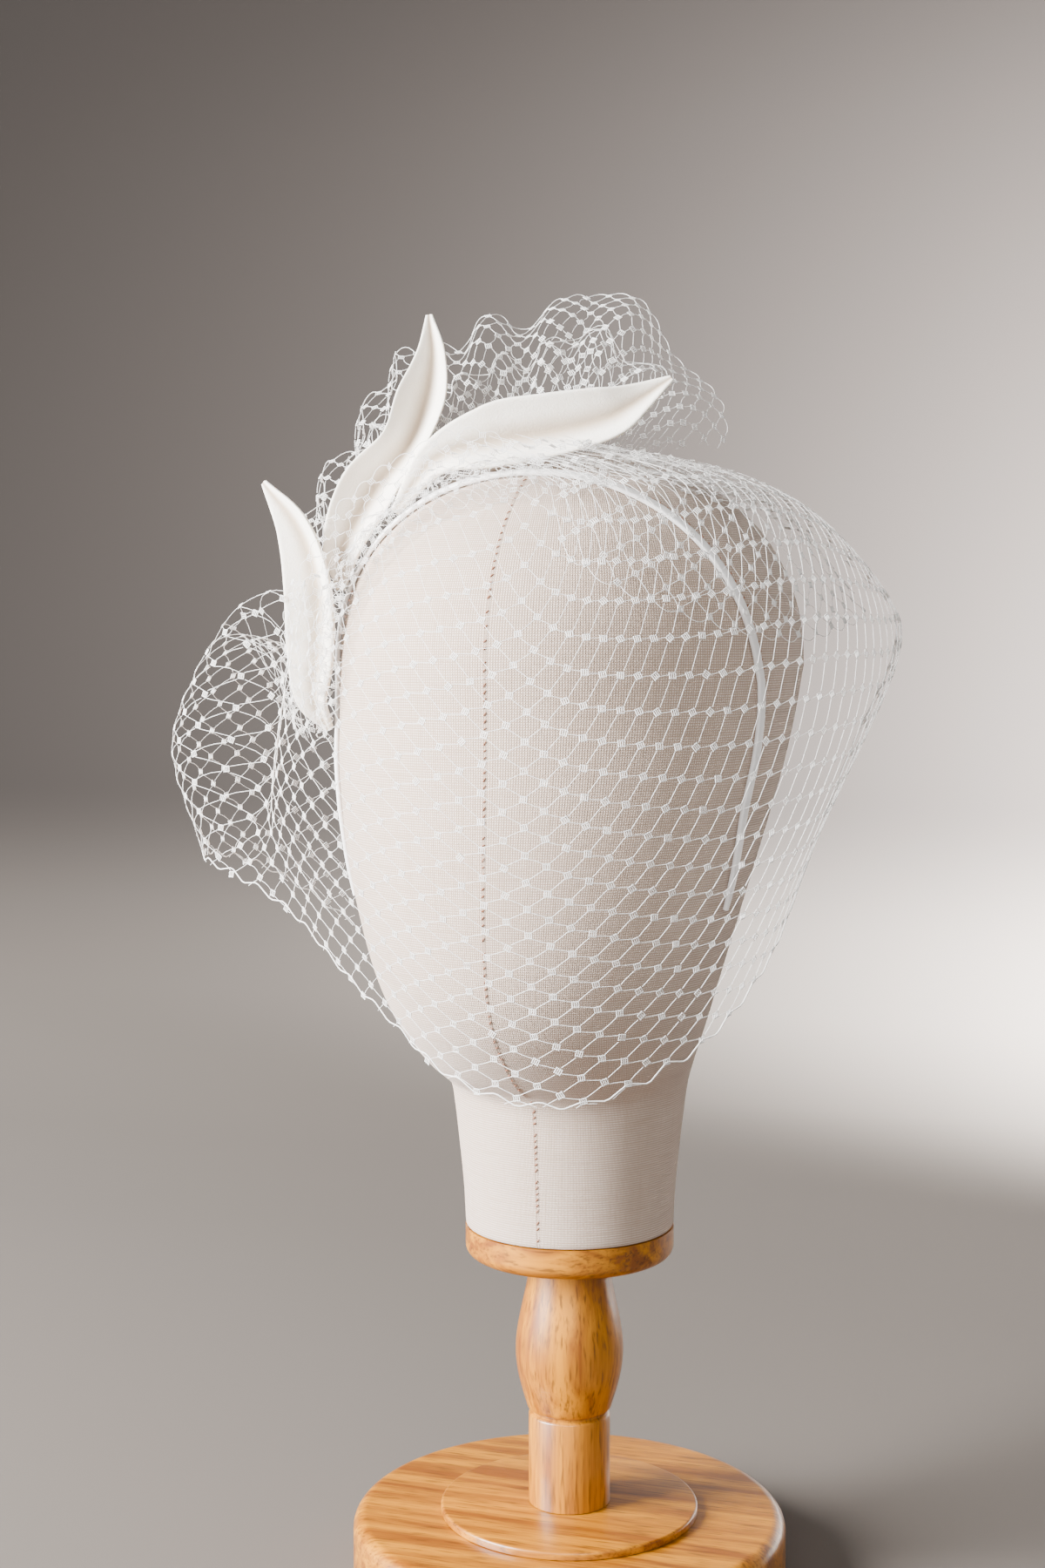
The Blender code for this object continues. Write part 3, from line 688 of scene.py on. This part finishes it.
def start_material(name):
    """An empty node material, and its Object coordinates."""
    material = bpy.data.materials.new(name)
    material.use_nodes = True
    material.node_tree.nodes.clear()
    place = add_node(material, "ShaderNodeTexCoord", {}, {})
    return material, place.outputs["Object"]


def close_material(material, shader):
    """Link the shader to the material's output."""
    add_node(material, "ShaderNodeOutputMaterial", {}, {"Surface": shader.outputs["BSDF"]})
    return material


def nylon_net():
    """White nylon veil thread: smooth filament with a soft sheen that lets some light through."""
    material, place = start_material("nylon_veil_thread")
    # a little unevenness each 4 mm keeps the white from looking painted
    tone = add_noise(material, place, 1 / 0.004, 2.0)
    colour = mix_colours(material, tone.outputs["Fac"], "#dedbd7", "#f2f0ed")
    shader = add_node(material, "ShaderNodeBsdfPrincipled", {}, {
        "Base Color": colour, "Roughness": 0.42, "IOR": 1.53,
        "Subsurface Weight": 0.25, "Subsurface Scale": 0.001, "Sheen Weight": 0.15})
    shader.inputs["Subsurface Radius"].default_value = (1.0, 0.9, 0.85)
    return close_material(material, shader)


def wool_felt():
    """Ivory fur felt: matt and soft, with short fibres that catch light at the edges."""
    material, place = start_material("ivory_fur_felt")
    # noise 0.7 mm wide stands for the matted fibres, and clouds 6 mm wide for uneven felting
    fibres = add_noise(material, place, 1 / 0.0007, 4.0, Roughness=0.7)
    clouds = add_noise(material, place, 1 / 0.006, 3.0)
    colour = mix_colours(material, clouds.outputs["Fac"], "#ebe2d5", "#f8f3ea")
    # part of the middle fold's shade is painted: the map's U goes round the leaf once, and the fold
    # lies a quarter and three quarters of the way round
    cut = add_node(material, "ShaderNodeUVMap", {}, {})
    round_leaf = add_node(material, "ShaderNodeSeparateXYZ", {}, {"Vector": cut.outputs["UV"]})
    turn = add_node(material, "ShaderNodeMath", {"operation": "MULTIPLY"}, {
        0: round_leaf.outputs["X"], 1: 2 * pi / LEAF_MAP_ROUND})
    aside = add_node(material, "ShaderNodeMath", {"operation": "COSINE"}, {0: turn.outputs["Value"]})
    away = add_node(material, "ShaderNodeMath", {"operation": "ABSOLUTE"}, {0: aside.outputs["Value"]})
    fold = add_node(material, "ShaderNodeMapRange", {"interpolation_type": "SMOOTHSTEP"}, {
        "Value": away.outputs["Value"], "From Max": 0.6, "To Min": 0.85, "To Max": 0.0})
    # painted shade: the felt's colour darkens towards #a58f76 along the middle fold
    painted_fold_shade = mix_colours(material, fold.outputs["Result"], colour, "#a58f76")
    bump = add_node(material, "ShaderNodeBump", {}, {
        "Height": fibres.outputs["Fac"], "Strength": 0.6, "Distance": 0.0004})
    shader = add_node(material, "ShaderNodeBsdfPrincipled", {}, {
        "Base Color": painted_fold_shade, "Roughness": 0.92, "IOR": 1.5,
        "Specular IOR Level": 0.2, "Normal": bump.outputs["Normal"],
        "Sheen Weight": 0.15, "Sheen Roughness": 0.5,
        "Subsurface Weight": 0.08, "Subsurface Scale": 0.002})
    shader.inputs["Subsurface Radius"].default_value = (1.0, 0.8, 0.6)
    return close_material(material, shader)


def satin_ribbon():
    """White satin ribbon wound on the band: long soft highlights broken at each wrap."""
    material, place = start_material("white_satin_ribbon")
    cloth = add_node(material, "ShaderNodeUVMap", {}, {})
    # the map is in metres along the band, and the ribbon advances 4 mm a turn on a slant
    slant = add_node(material, "ShaderNodeMapping", {}, {
        "Vector": cloth.outputs["UV"], "Rotation": (0.0, 0.0, radians(28.0))})
    wraps = add_node(material, "ShaderNodeTexWave", {
        "wave_type": "BANDS", "bands_direction": "X", "wave_profile": "SAW"}, {
        "Vector": slant.outputs["Vector"], "Scale": BAND_SCALE / 0.004, "Distortion": 0.0})
    weave = add_noise(material, place, 1 / 0.0006, 2.0)
    height = add_node(material, "ShaderNodeMath", {"operation": "MULTIPLY_ADD"}, {
        0: weave.outputs["Fac"], 1: 0.15, 2: wraps.outputs["Fac"]})
    bump = add_node(material, "ShaderNodeBump", {}, {
        "Height": height.outputs["Value"], "Strength": 0.35, "Distance": 0.0004})
    shader = add_node(material, "ShaderNodeBsdfPrincipled", {}, {
        "Base Color": srgb("#f4f2f1"), "Roughness": 0.36, "IOR": 1.5,
        "Normal": bump.outputs["Normal"], "Sheen Weight": 0.3, "Sheen Roughness": 0.3})
    return close_material(material, shader)


def plain_linen():
    """Natural bleached linen, plain woven: slubby threads both ways, quite matt."""
    material, _ = start_material("plain_woven_linen")
    cloth = add_node(material, "ShaderNodeUVMap", {}, {})
    # real linen has a thread each 0.45 mm, drawn here 0.8 mm apart so that it shows
    warp, weft = [add_node(material, "ShaderNodeTexWave", {
        "wave_type": "BANDS", "bands_direction": way}, {
        "Vector": cloth.outputs["UV"], "Scale": BAND_SCALE / 0.0008,
        "Distortion": 0.6, "Detail": 1.0, "Detail Scale": 0.5}) for way in "XY"]
    weave = add_node(material, "ShaderNodeMath", {"operation": "MULTIPLY"}, {
        0: warp.outputs["Fac"], 1: weft.outputs["Fac"]})
    # slubs: noise drawn out 30 mm along a thread and 1.2 mm across it, both ways
    slub_up, slub_across = [drawn_noise(material, cloth.outputs["UV"], scales, 3.0) for scales in (
        (1 / 0.0012, 1 / 0.03, 1.0), (1 / 0.03, 1 / 0.0012, 1.0))]
    slubs = add_node(material, "ShaderNodeMath", {"operation": "MAXIMUM"}, {
        0: slub_up.outputs["Fac"], 1: slub_across.outputs["Fac"]})
    shade = add_node(material, "ShaderNodeMapRange", {}, {
        "Value": slubs.outputs["Value"], "From Min": 0.45, "From Max": 0.8})
    colour = mix_colours(material, shade.outputs["Result"], "#f3e6dc", "#d3beae")
    gaps = mix_colours(material, weave.outputs["Value"], "#a8917f", colour)
    height = add_node(material, "ShaderNodeMath", {"operation": "ADD"}, {
        0: weave.outputs["Value"], 1: slubs.outputs["Value"]})
    bump = add_node(material, "ShaderNodeBump", {}, {
        "Height": height.outputs["Value"], "Strength": 0.6, "Distance": 0.0003})
    shader = add_node(material, "ShaderNodeBsdfPrincipled", {}, {
        "Base Color": gaps, "Roughness": 0.95, "IOR": 1.5,
        "Specular IOR Level": 0.15, "Normal": bump.outputs["Normal"], "Sheen Weight": 0.2})
    return close_material(material, shader)


def cotton_stitch():
    """Tan cotton sewing thread, matt and twisted."""
    material, place = start_material("tan_cotton_thread")
    twist = add_noise(material, place, 1 / 0.0008, 1.0)
    colour = mix_colours(material, twist.outputs["Fac"], "#7f4b34", "#a97559")
    shader = add_node(material, "ShaderNodeBsdfPrincipled", {}, {
        "Base Color": colour, "Roughness": 0.85})
    return close_material(material, shader)


def lacquered_beech(name, along):
    """Turned beech under clear lacquer: honey brown, short dark flecks along the grain, glossy."""
    material, place = start_material(name)
    # growth bands 6 mm wide, and flecks that are 0.4 mm wide on real beech, drawn 1 mm wide so that
    # they show
    stretch = [1 / 0.006, 1 / 0.006, 1 / 0.006]
    stretch[along] = 1 / 0.12
    bands = drawn_noise(material, place, stretch, 5.0, Roughness=0.6, Distortion=0.6)
    fleck = [1 / 0.001, 1 / 0.001, 1 / 0.001]
    fleck[along] = 1 / 0.012
    flecks = drawn_noise(material, place, fleck, 2.0)
    dark = add_node(material, "ShaderNodeMapRange", {}, {
        "Value": flecks.outputs["Fac"], "From Min": 0.52, "From Max": 0.7, "To Max": 0.7})
    light = add_node(material, "ShaderNodeMapRange", {}, {
        "Value": bands.outputs["Fac"], "From Min": 0.38, "From Max": 0.62})
    colour = mix_colours(material, light.outputs["Result"], "#7c4200", "#b67400")
    flecked = mix_colours(material, dark.outputs["Result"], colour, "#4a2602")
    bump = add_node(material, "ShaderNodeBump", {}, {
        "Height": bands.outputs["Fac"], "Strength": 0.12, "Distance": 0.0002})
    shader = add_node(material, "ShaderNodeBsdfPrincipled", {}, {
        "Base Color": flecked, "Roughness": 0.38, "IOR": 1.5, "Normal": bump.outputs["Normal"],
        "Coat Weight": 0.3, "Coat Roughness": 0.14})
    return close_material(material, shader)


def add_object(name, data):
    """Put a new object in the scene."""
    made = bpy.data.objects.new(name, data)
    bpy.context.scene.collection.objects.link(made)
    return made


def finish_piece(name, bm, material, nodes, sharp=50.0):
    """Put a bmesh in the scene as a piece that rides on the frame in place of its CAD nodes."""
    mesh = bpy.data.meshes.new(name)
    bm.to_mesh(mesh)
    bm.free()
    mesh.shade_smooth()
    mesh.set_sharp_from_angle(angle=radians(sharp))
    mesh.materials.append(material)
    piece = add_object(name, mesh)
    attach(piece, "root")
    if nodes:
        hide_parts(*nodes)
    return piece


def finish_threads(name, routes, radius, material, nodes):
    """Make round threads along their routes, each with its own thickness, as one piece."""
    curve = bpy.data.curves.new(name, "CURVE")
    curve.dimensions = "3D"
    curve.bevel_depth = radius * MM
    curve.bevel_resolution = 0
    curve.use_fill_caps = False
    for points, thickness in routes:
        spline = curve.splines.new("POLY")
        spline.points.add(len(points) - 1)
        for place, point in zip(spline.points, points):
            place.co = (*(point * MM), 1.0)
            place.radius = thickness
    source = add_object(name + "_routes", curve)
    bpy.context.view_layer.update()
    made = source.evaluated_get(bpy.context.evaluated_depsgraph_get())
    bm = bmesh.new()
    bm.from_mesh(made.to_mesh())
    made.to_mesh_clear()
    bpy.data.objects.remove(source, do_unlink=True)
    bpy.data.curves.remove(curve)
    for face in bm.faces:
        face.material_index = 0
    return finish_piece(name, bm, material, nodes, sharp=120.0)


def turned_blank(profile):
    """Spin a profile of radius and height round the stand's axis."""
    bm = bmesh.new()
    line = [bm.verts.new((radius * MM, 0.0, height * MM)) for radius, height in profile]
    edges = [bm.edges.new(pair) for pair in zip(line, line[1:])]
    bmesh.ops.spin(bm, geom=line + edges, cent=(0, 0, 0), axis=(0, 0, 1), angle=2 * pi, steps=128,
                   use_merge=True)
    bmesh.ops.remove_doubles(bm, verts=bm.verts[:], dist=0.00001)
    bmesh.ops.recalc_face_normals(bm, faces=bm.faces[:])
    return bm


def round_rim(bm, radius, height, size, segments):
    """Round the rim at a radius and height."""
    rim = []
    for edge in bm.edges:
        level = all(abs(v.co.z - height * MM) < 0.00001 for v in edge.verts)
        if level and all(abs(hypot(v.co.x, v.co.y) - radius * MM) < 0.00001 for v in edge.verts):
            rim.append(edge)
    bmesh.ops.bevel(bm, geom=rim, offset=size * MM, offset_type="OFFSET", segments=segments, profile=0.5,
                    affect="EDGES", material=-1, clamp_overlap=False)


def disc_profile(radius, foot, top):
    """Half the outline of a disc between two heights."""
    return (0.0, foot), (radius, foot), (radius, top), (0.0, top)


def make_stand():
    """Base, collar, spindle and neck plate, turned finer than the solids."""
    flat_grain = lacquered_beech("lacquered_beech_flat", 0)
    upright_grain = lacquered_beech("lacquered_beech_upright", 2)
    base = turned_blank(disc_profile(BASE_RADIUS, 0.0, BASE_HEIGHT))
    round_rim(base, BASE_RADIUS, 0.0, 1.5, 3)
    round_rim(base, BASE_RADIUS, BASE_HEIGHT, 5.0, 8)
    finish_piece("turned_base", base, flat_grain, ["stand_base"], 40.0)
    collar = turned_blank(disc_profile(COLLAR_RADIUS, BASE_HEIGHT + STACK_GAP, COLLAR_TOP))
    round_rim(collar, COLLAR_RADIUS, COLLAR_TOP, 1.0, 4)
    finish_piece("turned_collar", collar, flat_grain, ["base_collar"], 40.0)
    post_foot = COLLAR_TOP + STACK_GAP
    profile = [(0.0, post_foot), (POST_RADIUS, post_foot), (POST_RADIUS, POST_TOP)]
    profile += [(POST_RADIUS - 0.3, POST_TOP + 0.6), (NECKING_RADIUS, POST_TOP + 1.1)]
    profile += [(NECKING_RADIUS, BULB_FOOT - 1.1), (BULB_FOOT_RADIUS - 0.4, BULB_FOOT - 0.5)]
    for i in range(17):
        share = i / 16
        height = BULB_FOOT + (BULB_MIDDLE - BULB_FOOT) * share
        swell = sin(share * pi / 2)
        profile.append((BULB_FOOT_RADIUS + (BULB_RADIUS - BULB_FOOT_RADIUS) * swell, height))
    for i in range(1, 25):
        share = i / 24
        height = BULB_MIDDLE + (SPINDLE_TOP - BULB_MIDDLE) * share
        swell = 1 - smooth_step(share)
        profile.append((SPINDLE_TOP_RADIUS + (BULB_RADIUS - SPINDLE_TOP_RADIUS) * swell, height))
    profile.append((0.0, SPINDLE_TOP))
    spindle = turned_blank(profile)
    finish_piece("turned_spindle", spindle, upright_grain, ["stand_spindle"], 40.0)
    foot = SPINDLE_TOP + STACK_GAP
    plate = turned_blank(disc_profile(PLATE_RADIUS, foot, PLATE_TOP))
    round_rim(plate, PLATE_RADIUS, foot, 4.0, 8)
    finish_piece("turned_neck_plate", plate, flat_grain, ["neck_plate"], 40.0)


def bent_grid(columns, rows, place, close_across):
    """A grid bent over a shape, with its UV map in metres taken at the middle of the shape."""
    bm = bmesh.new()
    bmesh.ops.create_grid(bm, x_segments=columns, y_segments=rows, size=0.5)
    layer = bm.loops.layers.uv.new("UVMap")
    flat = {vertex: (vertex.co.x + 0.5, vertex.co.y + 0.5) for vertex in bm.verts}
    for face in bm.faces:
        for loop in face.loops:
            loop[layer].uv = place(*flat[loop.vert])[1]
    for vertex, (across, up) in flat.items():
        vertex.co = place(across, up)[0] * MM
    if close_across:
        bmesh.ops.remove_doubles(bm, verts=bm.verts[:], dist=0.00002)
    bmesh.ops.recalc_face_normals(bm, faces=bm.faces[:])
    return bm


def make_head(linen, stitch):
    """Linen-covered head and neck, its turned-in lower edge, and its sewn seams."""
    heights = [127.3, 127.3, 127.5, 128.0, 129.0]
    widest = HEAD_SECTIONS[-1][0]
    heights += [130.0 + (widest - 130.0) * i / 72 for i in range(73)]
    heights += [widest + (CROWN_HEIGHT - widest) * sin(0.5 * pi * i / 44) for i in range(1, 45)]
    inset = {0: 0.8, 1: 0.985, 2: 0.992, 3: 0.998}

    def place(across, up):
        row = round(up * (len(heights) - 1))
        height = heights[row]
        forward, half_width, half_depth = head_section(min(height, CROWN_HEIGHT))
        share = inset.get(row, 1.0)
        angle = 2 * pi * across
        deep = -forward - half_depth * share * cos(angle)
        point = Vector((half_width * share * sin(angle), deep, height))
        steps = zip(silhouette, silhouette[1:row + 1])
        lift = sum(hypot(b[0] - a[0], b[1] - a[1]) for a, b in steps)
        return point, ((across - 0.5) * HEAD_MAP_ROUND, lift * MM)

    silhouette = [(head_section(min(h, CROWN_HEIGHT))[1], h) for h in heights]
    bm = bent_grid(220, len(heights) - 1, place, True)
    finish_piece("linen_head", bm, linen, ["head_form"], 60.0)

    seams = []
    for (low, high), count in ((FACE_SEAM, 90), (NECK_SEAM, 25)):
        line = []
        for i in range(count + 1):
            height = low + (high - low) * i / count
            forward, _, half_depth = head_section(height)
            line.append(Vector((0.0, -forward - half_depth, height)))
        seams.append(line)
    for side in (-1, 1):
        line = []
        for i in range(121):
            turn = BAND_SEAM_START + BAND_SEAM_TURN * i / 120
            point, _ = on_head(band_forward(turn) - BAND_SEAM_BEHIND, side * turn, 0.0)
            line.append(point)
        seams.append(line)
    ridges = []
    stitches = []
    random = Random(5)
    for line in seams:
        left = []
        right = []
        walked = 0.0
        due = 1.0
        for n, point in enumerate(line):
            ahead = (line[min(n + 1, len(line) - 1)] - line[max(n - 1, 0)]).normalized()
            normal = head_normal(point)
            side = ahead.cross(normal).normalized()
            left.append(point + side * 0.42 - normal * 0.24)
            right.append(point - side * 0.42 - normal * 0.24)
            if n:
                walked += (point - line[n - 1]).length
            if walked >= due:
                due = walked + random.uniform(1.7, 2.4)
                lean = ahead * random.uniform(0.2, 0.6)
                low = point - side * 0.4 - lean + normal * 0.12
                high = point + side * 0.4 + lean + normal * 0.12
                stitches.append(([low, (low + high) / 2 + normal * 0.2, high], random.uniform(0.8, 1.2)))
        ridges.append((left, 1.0))
        ridges.append((right, 1.0))
    finish_threads("linen_seam_folds", ridges, 0.36, linen, [])
    finish_threads("linen_seam_stitches", stitches, 0.2, stitch, [])


def make_band(satin):
    """Headband wound with satin ribbon, flat-sided with soft edges and tapered ends."""
    corners = []
    for i in range(24):
        angle = 2 * pi * i / 24
        x = abs(cos(angle)) ** 0.45 * (1 if cos(angle) >= 0 else -1)
        y = abs(sin(angle)) ** 0.7 * (1 if sin(angle) >= 0 else -1)
        corners.append((x, y))
    corners.append(corners[0])

    def place(across, up):
        turn = -BAND_END_TURN + 2 * BAND_END_TURN * up
        spot, normal, side = band_frame(turn, BAND_REST + BAND_THICK / 2)
        end = smooth_step((BAND_END_TURN - abs(turn)) / 5.0)
        half_width = BAND_WIDTH / 2 * (0.55 + 0.45 * end)
        x, y = corners[round(across * 24)]
        point = spot + side * (x * half_width) + normal * (y * BAND_THICK / 2)
        return point, (up * BAND_MAP_LONG, across * BAND_MAP_ROUND)

    bm = bent_grid(24, 260, place, True)
    bmesh.ops.holes_fill(bm, edges=[edge for edge in bm.edges if edge.is_boundary])
    bmesh.ops.recalc_face_normals(bm, faces=bm.faces[:])
    finish_piece("satin_headband", bm, satin, ["headband"], 60.0)


def make_leaf(name, seat, rows, facing, felt, node):
    """One thick felt leaf, folded down its middle, with soft rolled edges."""
    root, _ = on_head(band_forward(seat), seat, BAND_REST + BAND_THICK + 0.3 + LEAF_ROOT)
    rows = ((0.0, root.x, -root.y, root.z, LEAF_ROOT, 0.0),) + rows
    strips, stations = 72, 60

    @lru_cache(maxsize=None)
    def station(row):
        share = row / stations
        left, forward, height, half_width, fold = read_row(rows, share)
        low = read_row(rows, max(share - 0.01, 0.0))
        high = read_row(rows, min(share + 0.01, 1.0))
        along = Vector((high[0] - low[0], low[1] - high[1], high[2] - low[2])).normalized()
        side = along.cross(facing).normalized()
        front = side.cross(along).normalized()
        return Vector((left, -forward, height)), side, front, half_width, fold

    def place(across, up):
        middle, side, front, half_width, fold = station(round(up * stations))
        angle = 2 * pi * across
        part = cos(angle)
        rise = fold * LEAF_CREASE * (sqrt(part * part + 0.004) - 0.5)
        edge = (1.0 - abs(part)) * half_width
        full = LEAF_THICK / 2 * sqrt(min(edge / 1.5, 1.0) * (2.0 - min(edge / 1.5, 1.0)))
        face = 1.0 if sin(angle) >= 0 else -1.0
        point = middle + side * (part * half_width) + front * (rise + face * full)
        return point, (across * LEAF_MAP_ROUND, up * LEAF_MAP_LONG)

    bm = bent_grid(strips, stations, place, True)
    bmesh.ops.holes_fill(bm, edges=[edge for edge in bm.edges if edge.is_boundary])
    bmesh.ops.recalc_face_normals(bm, faces=bm.faces[:])
    return finish_piece(name, bm, felt, [node], 70.0)


def make_leaves(felt):
    """The three felt leaves."""
    low = make_leaf("felt_leaf_low", -103.0, LEAF_LOW, Vector((-0.25, -1.0, 0.0)), felt, "leaf_low")
    middle = make_leaf("felt_leaf_middle", -66.0, LEAF_MIDDLE, Vector((0.1, -1.0, 0.1)), felt, "leaf_middle")
    top = make_leaf("felt_leaf_top", -40.0, LEAF_TOP, Vector((0.3, -1.0, 0.3)), felt, "leaf_top")


# Open net has far less thread than cloth, so its area is not the cut's: it is the threads' own surface,
# or three tenths of the cut, the least that the declaration takes. The size test therefore says nothing
# about the nets.
def make_face(net):
    """Front tier, from behind the wearer's right ear round the face to the left."""
    cloth = Cloth(face_route, 180, 70, 22, 1.4, 0.0)
    knots = lay_net(cloth, 38, NET_SIDE, FACE_NET_BASE, 0.46, 0.7, 11)
    routes = net_threads(cloth, knots, 12, False, 2.2, 0.25)
    piece = finish_threads("net_face", routes, THREAD_RADIUS, net, ["veil_face"])


def make_flap(net):
    """Short tier over the right of the crown."""
    cloth = Cloth(flap_route, 80, 40, 7, 0.6, 0.0)
    knots = lay_net(cloth, 15, NET_SIDE, LEVEL_NET_BASE, 0.0, 0.6, 21)
    routes = net_threads(cloth, knots, 22, True, 1.3, 1.0)
    piece = finish_threads("net_flap", routes, THREAD_RADIUS, net, ["veil_flap"])


def make_ruffle(net):
    """Short doubled tier that stands up behind the leaves."""
    routes = []
    layers = ((ruffle_route, 33, 9, 31), (inner_ruffle_route, 24, 11, 37))
    for route, columns, gathers, seed in layers:
        cloth = Cloth(route, 160, 40, gathers, 1.0, 3.4)
        knots = lay_net(cloth, columns, NET_SIDE, RUFFLE_NET_BASE, NO_LEAN, 0.6, seed)
        routes += net_threads(cloth, knots, seed + 1, True, 1.3, 1.0)
    piece = finish_threads("net_ruffle", routes, THREAD_RADIUS, net, ["veil_ruffle"])


def heading_route(across, angles, swells, edge):
    """A line round the gathered heading between two angles, swelling out towards a loose edge."""
    first = HEADING_ROWS[0][0]
    turn = first + (edge - first) * across
    middle, normal, side, half_width, half_height = heading_frame(turn)
    fade = smooth_step(across / 0.06) * smooth_step((1.0 - across) / 0.15)
    points = []
    for step in range(7):
        share = step / 6
        angle = angles[0] + (angles[1] - angles[0]) * share
        crush = 0.8 * sin(2 * pi * 23 * across + 3.1 * angle)
        crush += 0.6 * sin(2 * pi * 37 * across - 4.7 * angle)
        swell = 0.6 + 0.7 * crush * (1.0 - 0.5 * share)
        swell += (swells[0] + (swells[1] - swells[0]) * share ** 1.5) * fade
        point = middle + side * ((half_width + swell) * cos(angle))
        points.append(point + normal * ((half_height + swell) * sin(angle)))
    return points


def make_heading(net):
    """The crushed gathers on the band: net wound over itself, with loose loops before and above it."""
    last = HEADING_ROWS[-1][0]
    routes = []
    for angles, swells, edge, columns, seed in (
        ((pi + 0.3, -0.3), (0.0, 0.0), last, 36, 41),
        ((0.5 * pi, -0.5), (1.0, 7.0), last, 25, 43),
        ((0.35 * pi, 0.6 * pi), (0.0, 12.0), 6.0, 20, 47),
    ):
        route = partial(heading_route, angles=angles, swells=swells, edge=edge)
        cloth = Cloth(route, 200, 24, 31, 0.7, 0.7)
        knots = lay_net(cloth, columns, HEADING_NET_SIDE, HEADING_NET_BASE, NO_LEAN, 0.6, seed)
        routes += net_threads(cloth, knots, seed, True, 1.0, 2.0)
    piece = finish_threads("net_heading", routes, THREAD_RADIUS, net, ["veil_heading"])


def make_studio():
    """Plain floor that curves up into the backdrop, its lights and the camera."""
    sweep, place = start_material("painted_studio_sweep")
    # matt paint, taupe on the floor and darker from 200 mm up, so that white net shows against it
    height = add_node(sweep, "ShaderNodeSeparateXYZ", {}, {"Vector": place})
    rise = add_node(sweep, "ShaderNodeMapRange", {"interpolation_type": "SMOOTHSTEP"}, {
        "Value": height.outputs["Z"], "From Min": 0.0, "From Max": 0.2})
    paint = mix_colours(sweep, rise.outputs["Result"], "#5c554f", "#211b17")
    shader = add_node(sweep, "ShaderNodeBsdfPrincipled", {}, {
        "Base Color": paint, "Roughness": 0.9})
    close_material(sweep, shader)
    bm = bmesh.new()
    bmesh.ops.create_grid(bm, x_segments=1, y_segments=40, size=4.0)
    for vertex in bm.verts:
        # the floor ends behind the stand, turns up on a curve and goes on as the wall
        run = vertex.co.y + SWEEP_SHIFT
        bend = min(max((run - FLOOR_END) / SWEEP_RUN, 0.0), pi / 2)
        vertex.co.y = min(run, FLOOR_END) + SWEEP_RADIUS * sin(bend)
        wall = max(run - FLOOR_END - SWEEP_RUN * pi / 2, 0.0)
        vertex.co.z = SWEEP_RADIUS * (1.0 - cos(bend)) + wall
    mesh = bpy.data.meshes.new("studio_sweep")
    bm.to_mesh(mesh)
    bm.free()
    mesh.shade_smooth()
    mesh.materials.append(sweep)
    ground = add_object("studio_sweep", mesh)

    for name, place, target, size, power, spread in (
        ("window_key", (-1.3, -1.0, 0.8), (0.0, 0.0, 0.3), 1.0, 285.0, 180.0),
        ("front_fill", (0.5, -1.8, 1.0), (0.0, 0.0, 0.3), 1.2, 24.0, 180.0),
        ("backdrop_wash", (0.6, 0.6, 0.42), (0.36, 1.45, 0.1), 0.4, 360.0, 120.0),
    ):
        light = bpy.data.lights.new(name, "AREA")
        light.shape = "SQUARE"
        light.size = size
        light.energy = power
        light.spread = radians(spread)
        lamp = add_object(name, light)
        lamp.location = place
        lamp.rotation_euler = (Vector(target) - Vector(place)).to_track_quat("-Z", "Y").to_euler()

    world = bpy.data.worlds.new("soft_room")
    world.use_nodes = True
    world.node_tree.nodes["Background"].inputs["Color"].default_value = srgb("#e4e2e0")
    world.node_tree.nodes["Background"].inputs["Strength"].default_value = 0.42
    bpy.context.scene.world = world

    turn = radians(CAMERA_TURN)
    yaw = atan(AXIS_ASIDE / FOCAL_PIXELS)
    pitch = atan(HORIZON_ABOVE / FOCAL_PIXELS)
    back = Vector((sin(turn), -cos(turn), 0.0))
    across = Vector((cos(turn), sin(turn), 0.0))
    level = -back * cos(yaw) - across * sin(yaw)
    look = level * cos(pitch) - Vector((0.0, 0.0, 1.0)) * sin(pitch)
    lens = bpy.data.cameras.new("photo_angle")
    lens.lens = 50.0
    lens.sensor_width = 36.0
    camera = add_object("photo_angle", lens)
    camera.location = CAMERA_PLACE
    camera.rotation_euler = look.to_track_quat("-Z", "Y").to_euler()
    bpy.context.scene.camera = camera


make_studio()
make_stand()
make_head(plain_linen(), cotton_stitch())
make_band(satin_ribbon())
make_leaves(wool_felt())
white_net = nylon_net()
make_face(white_net)
make_flap(white_net)
make_ruffle(white_net)
make_heading(white_net)
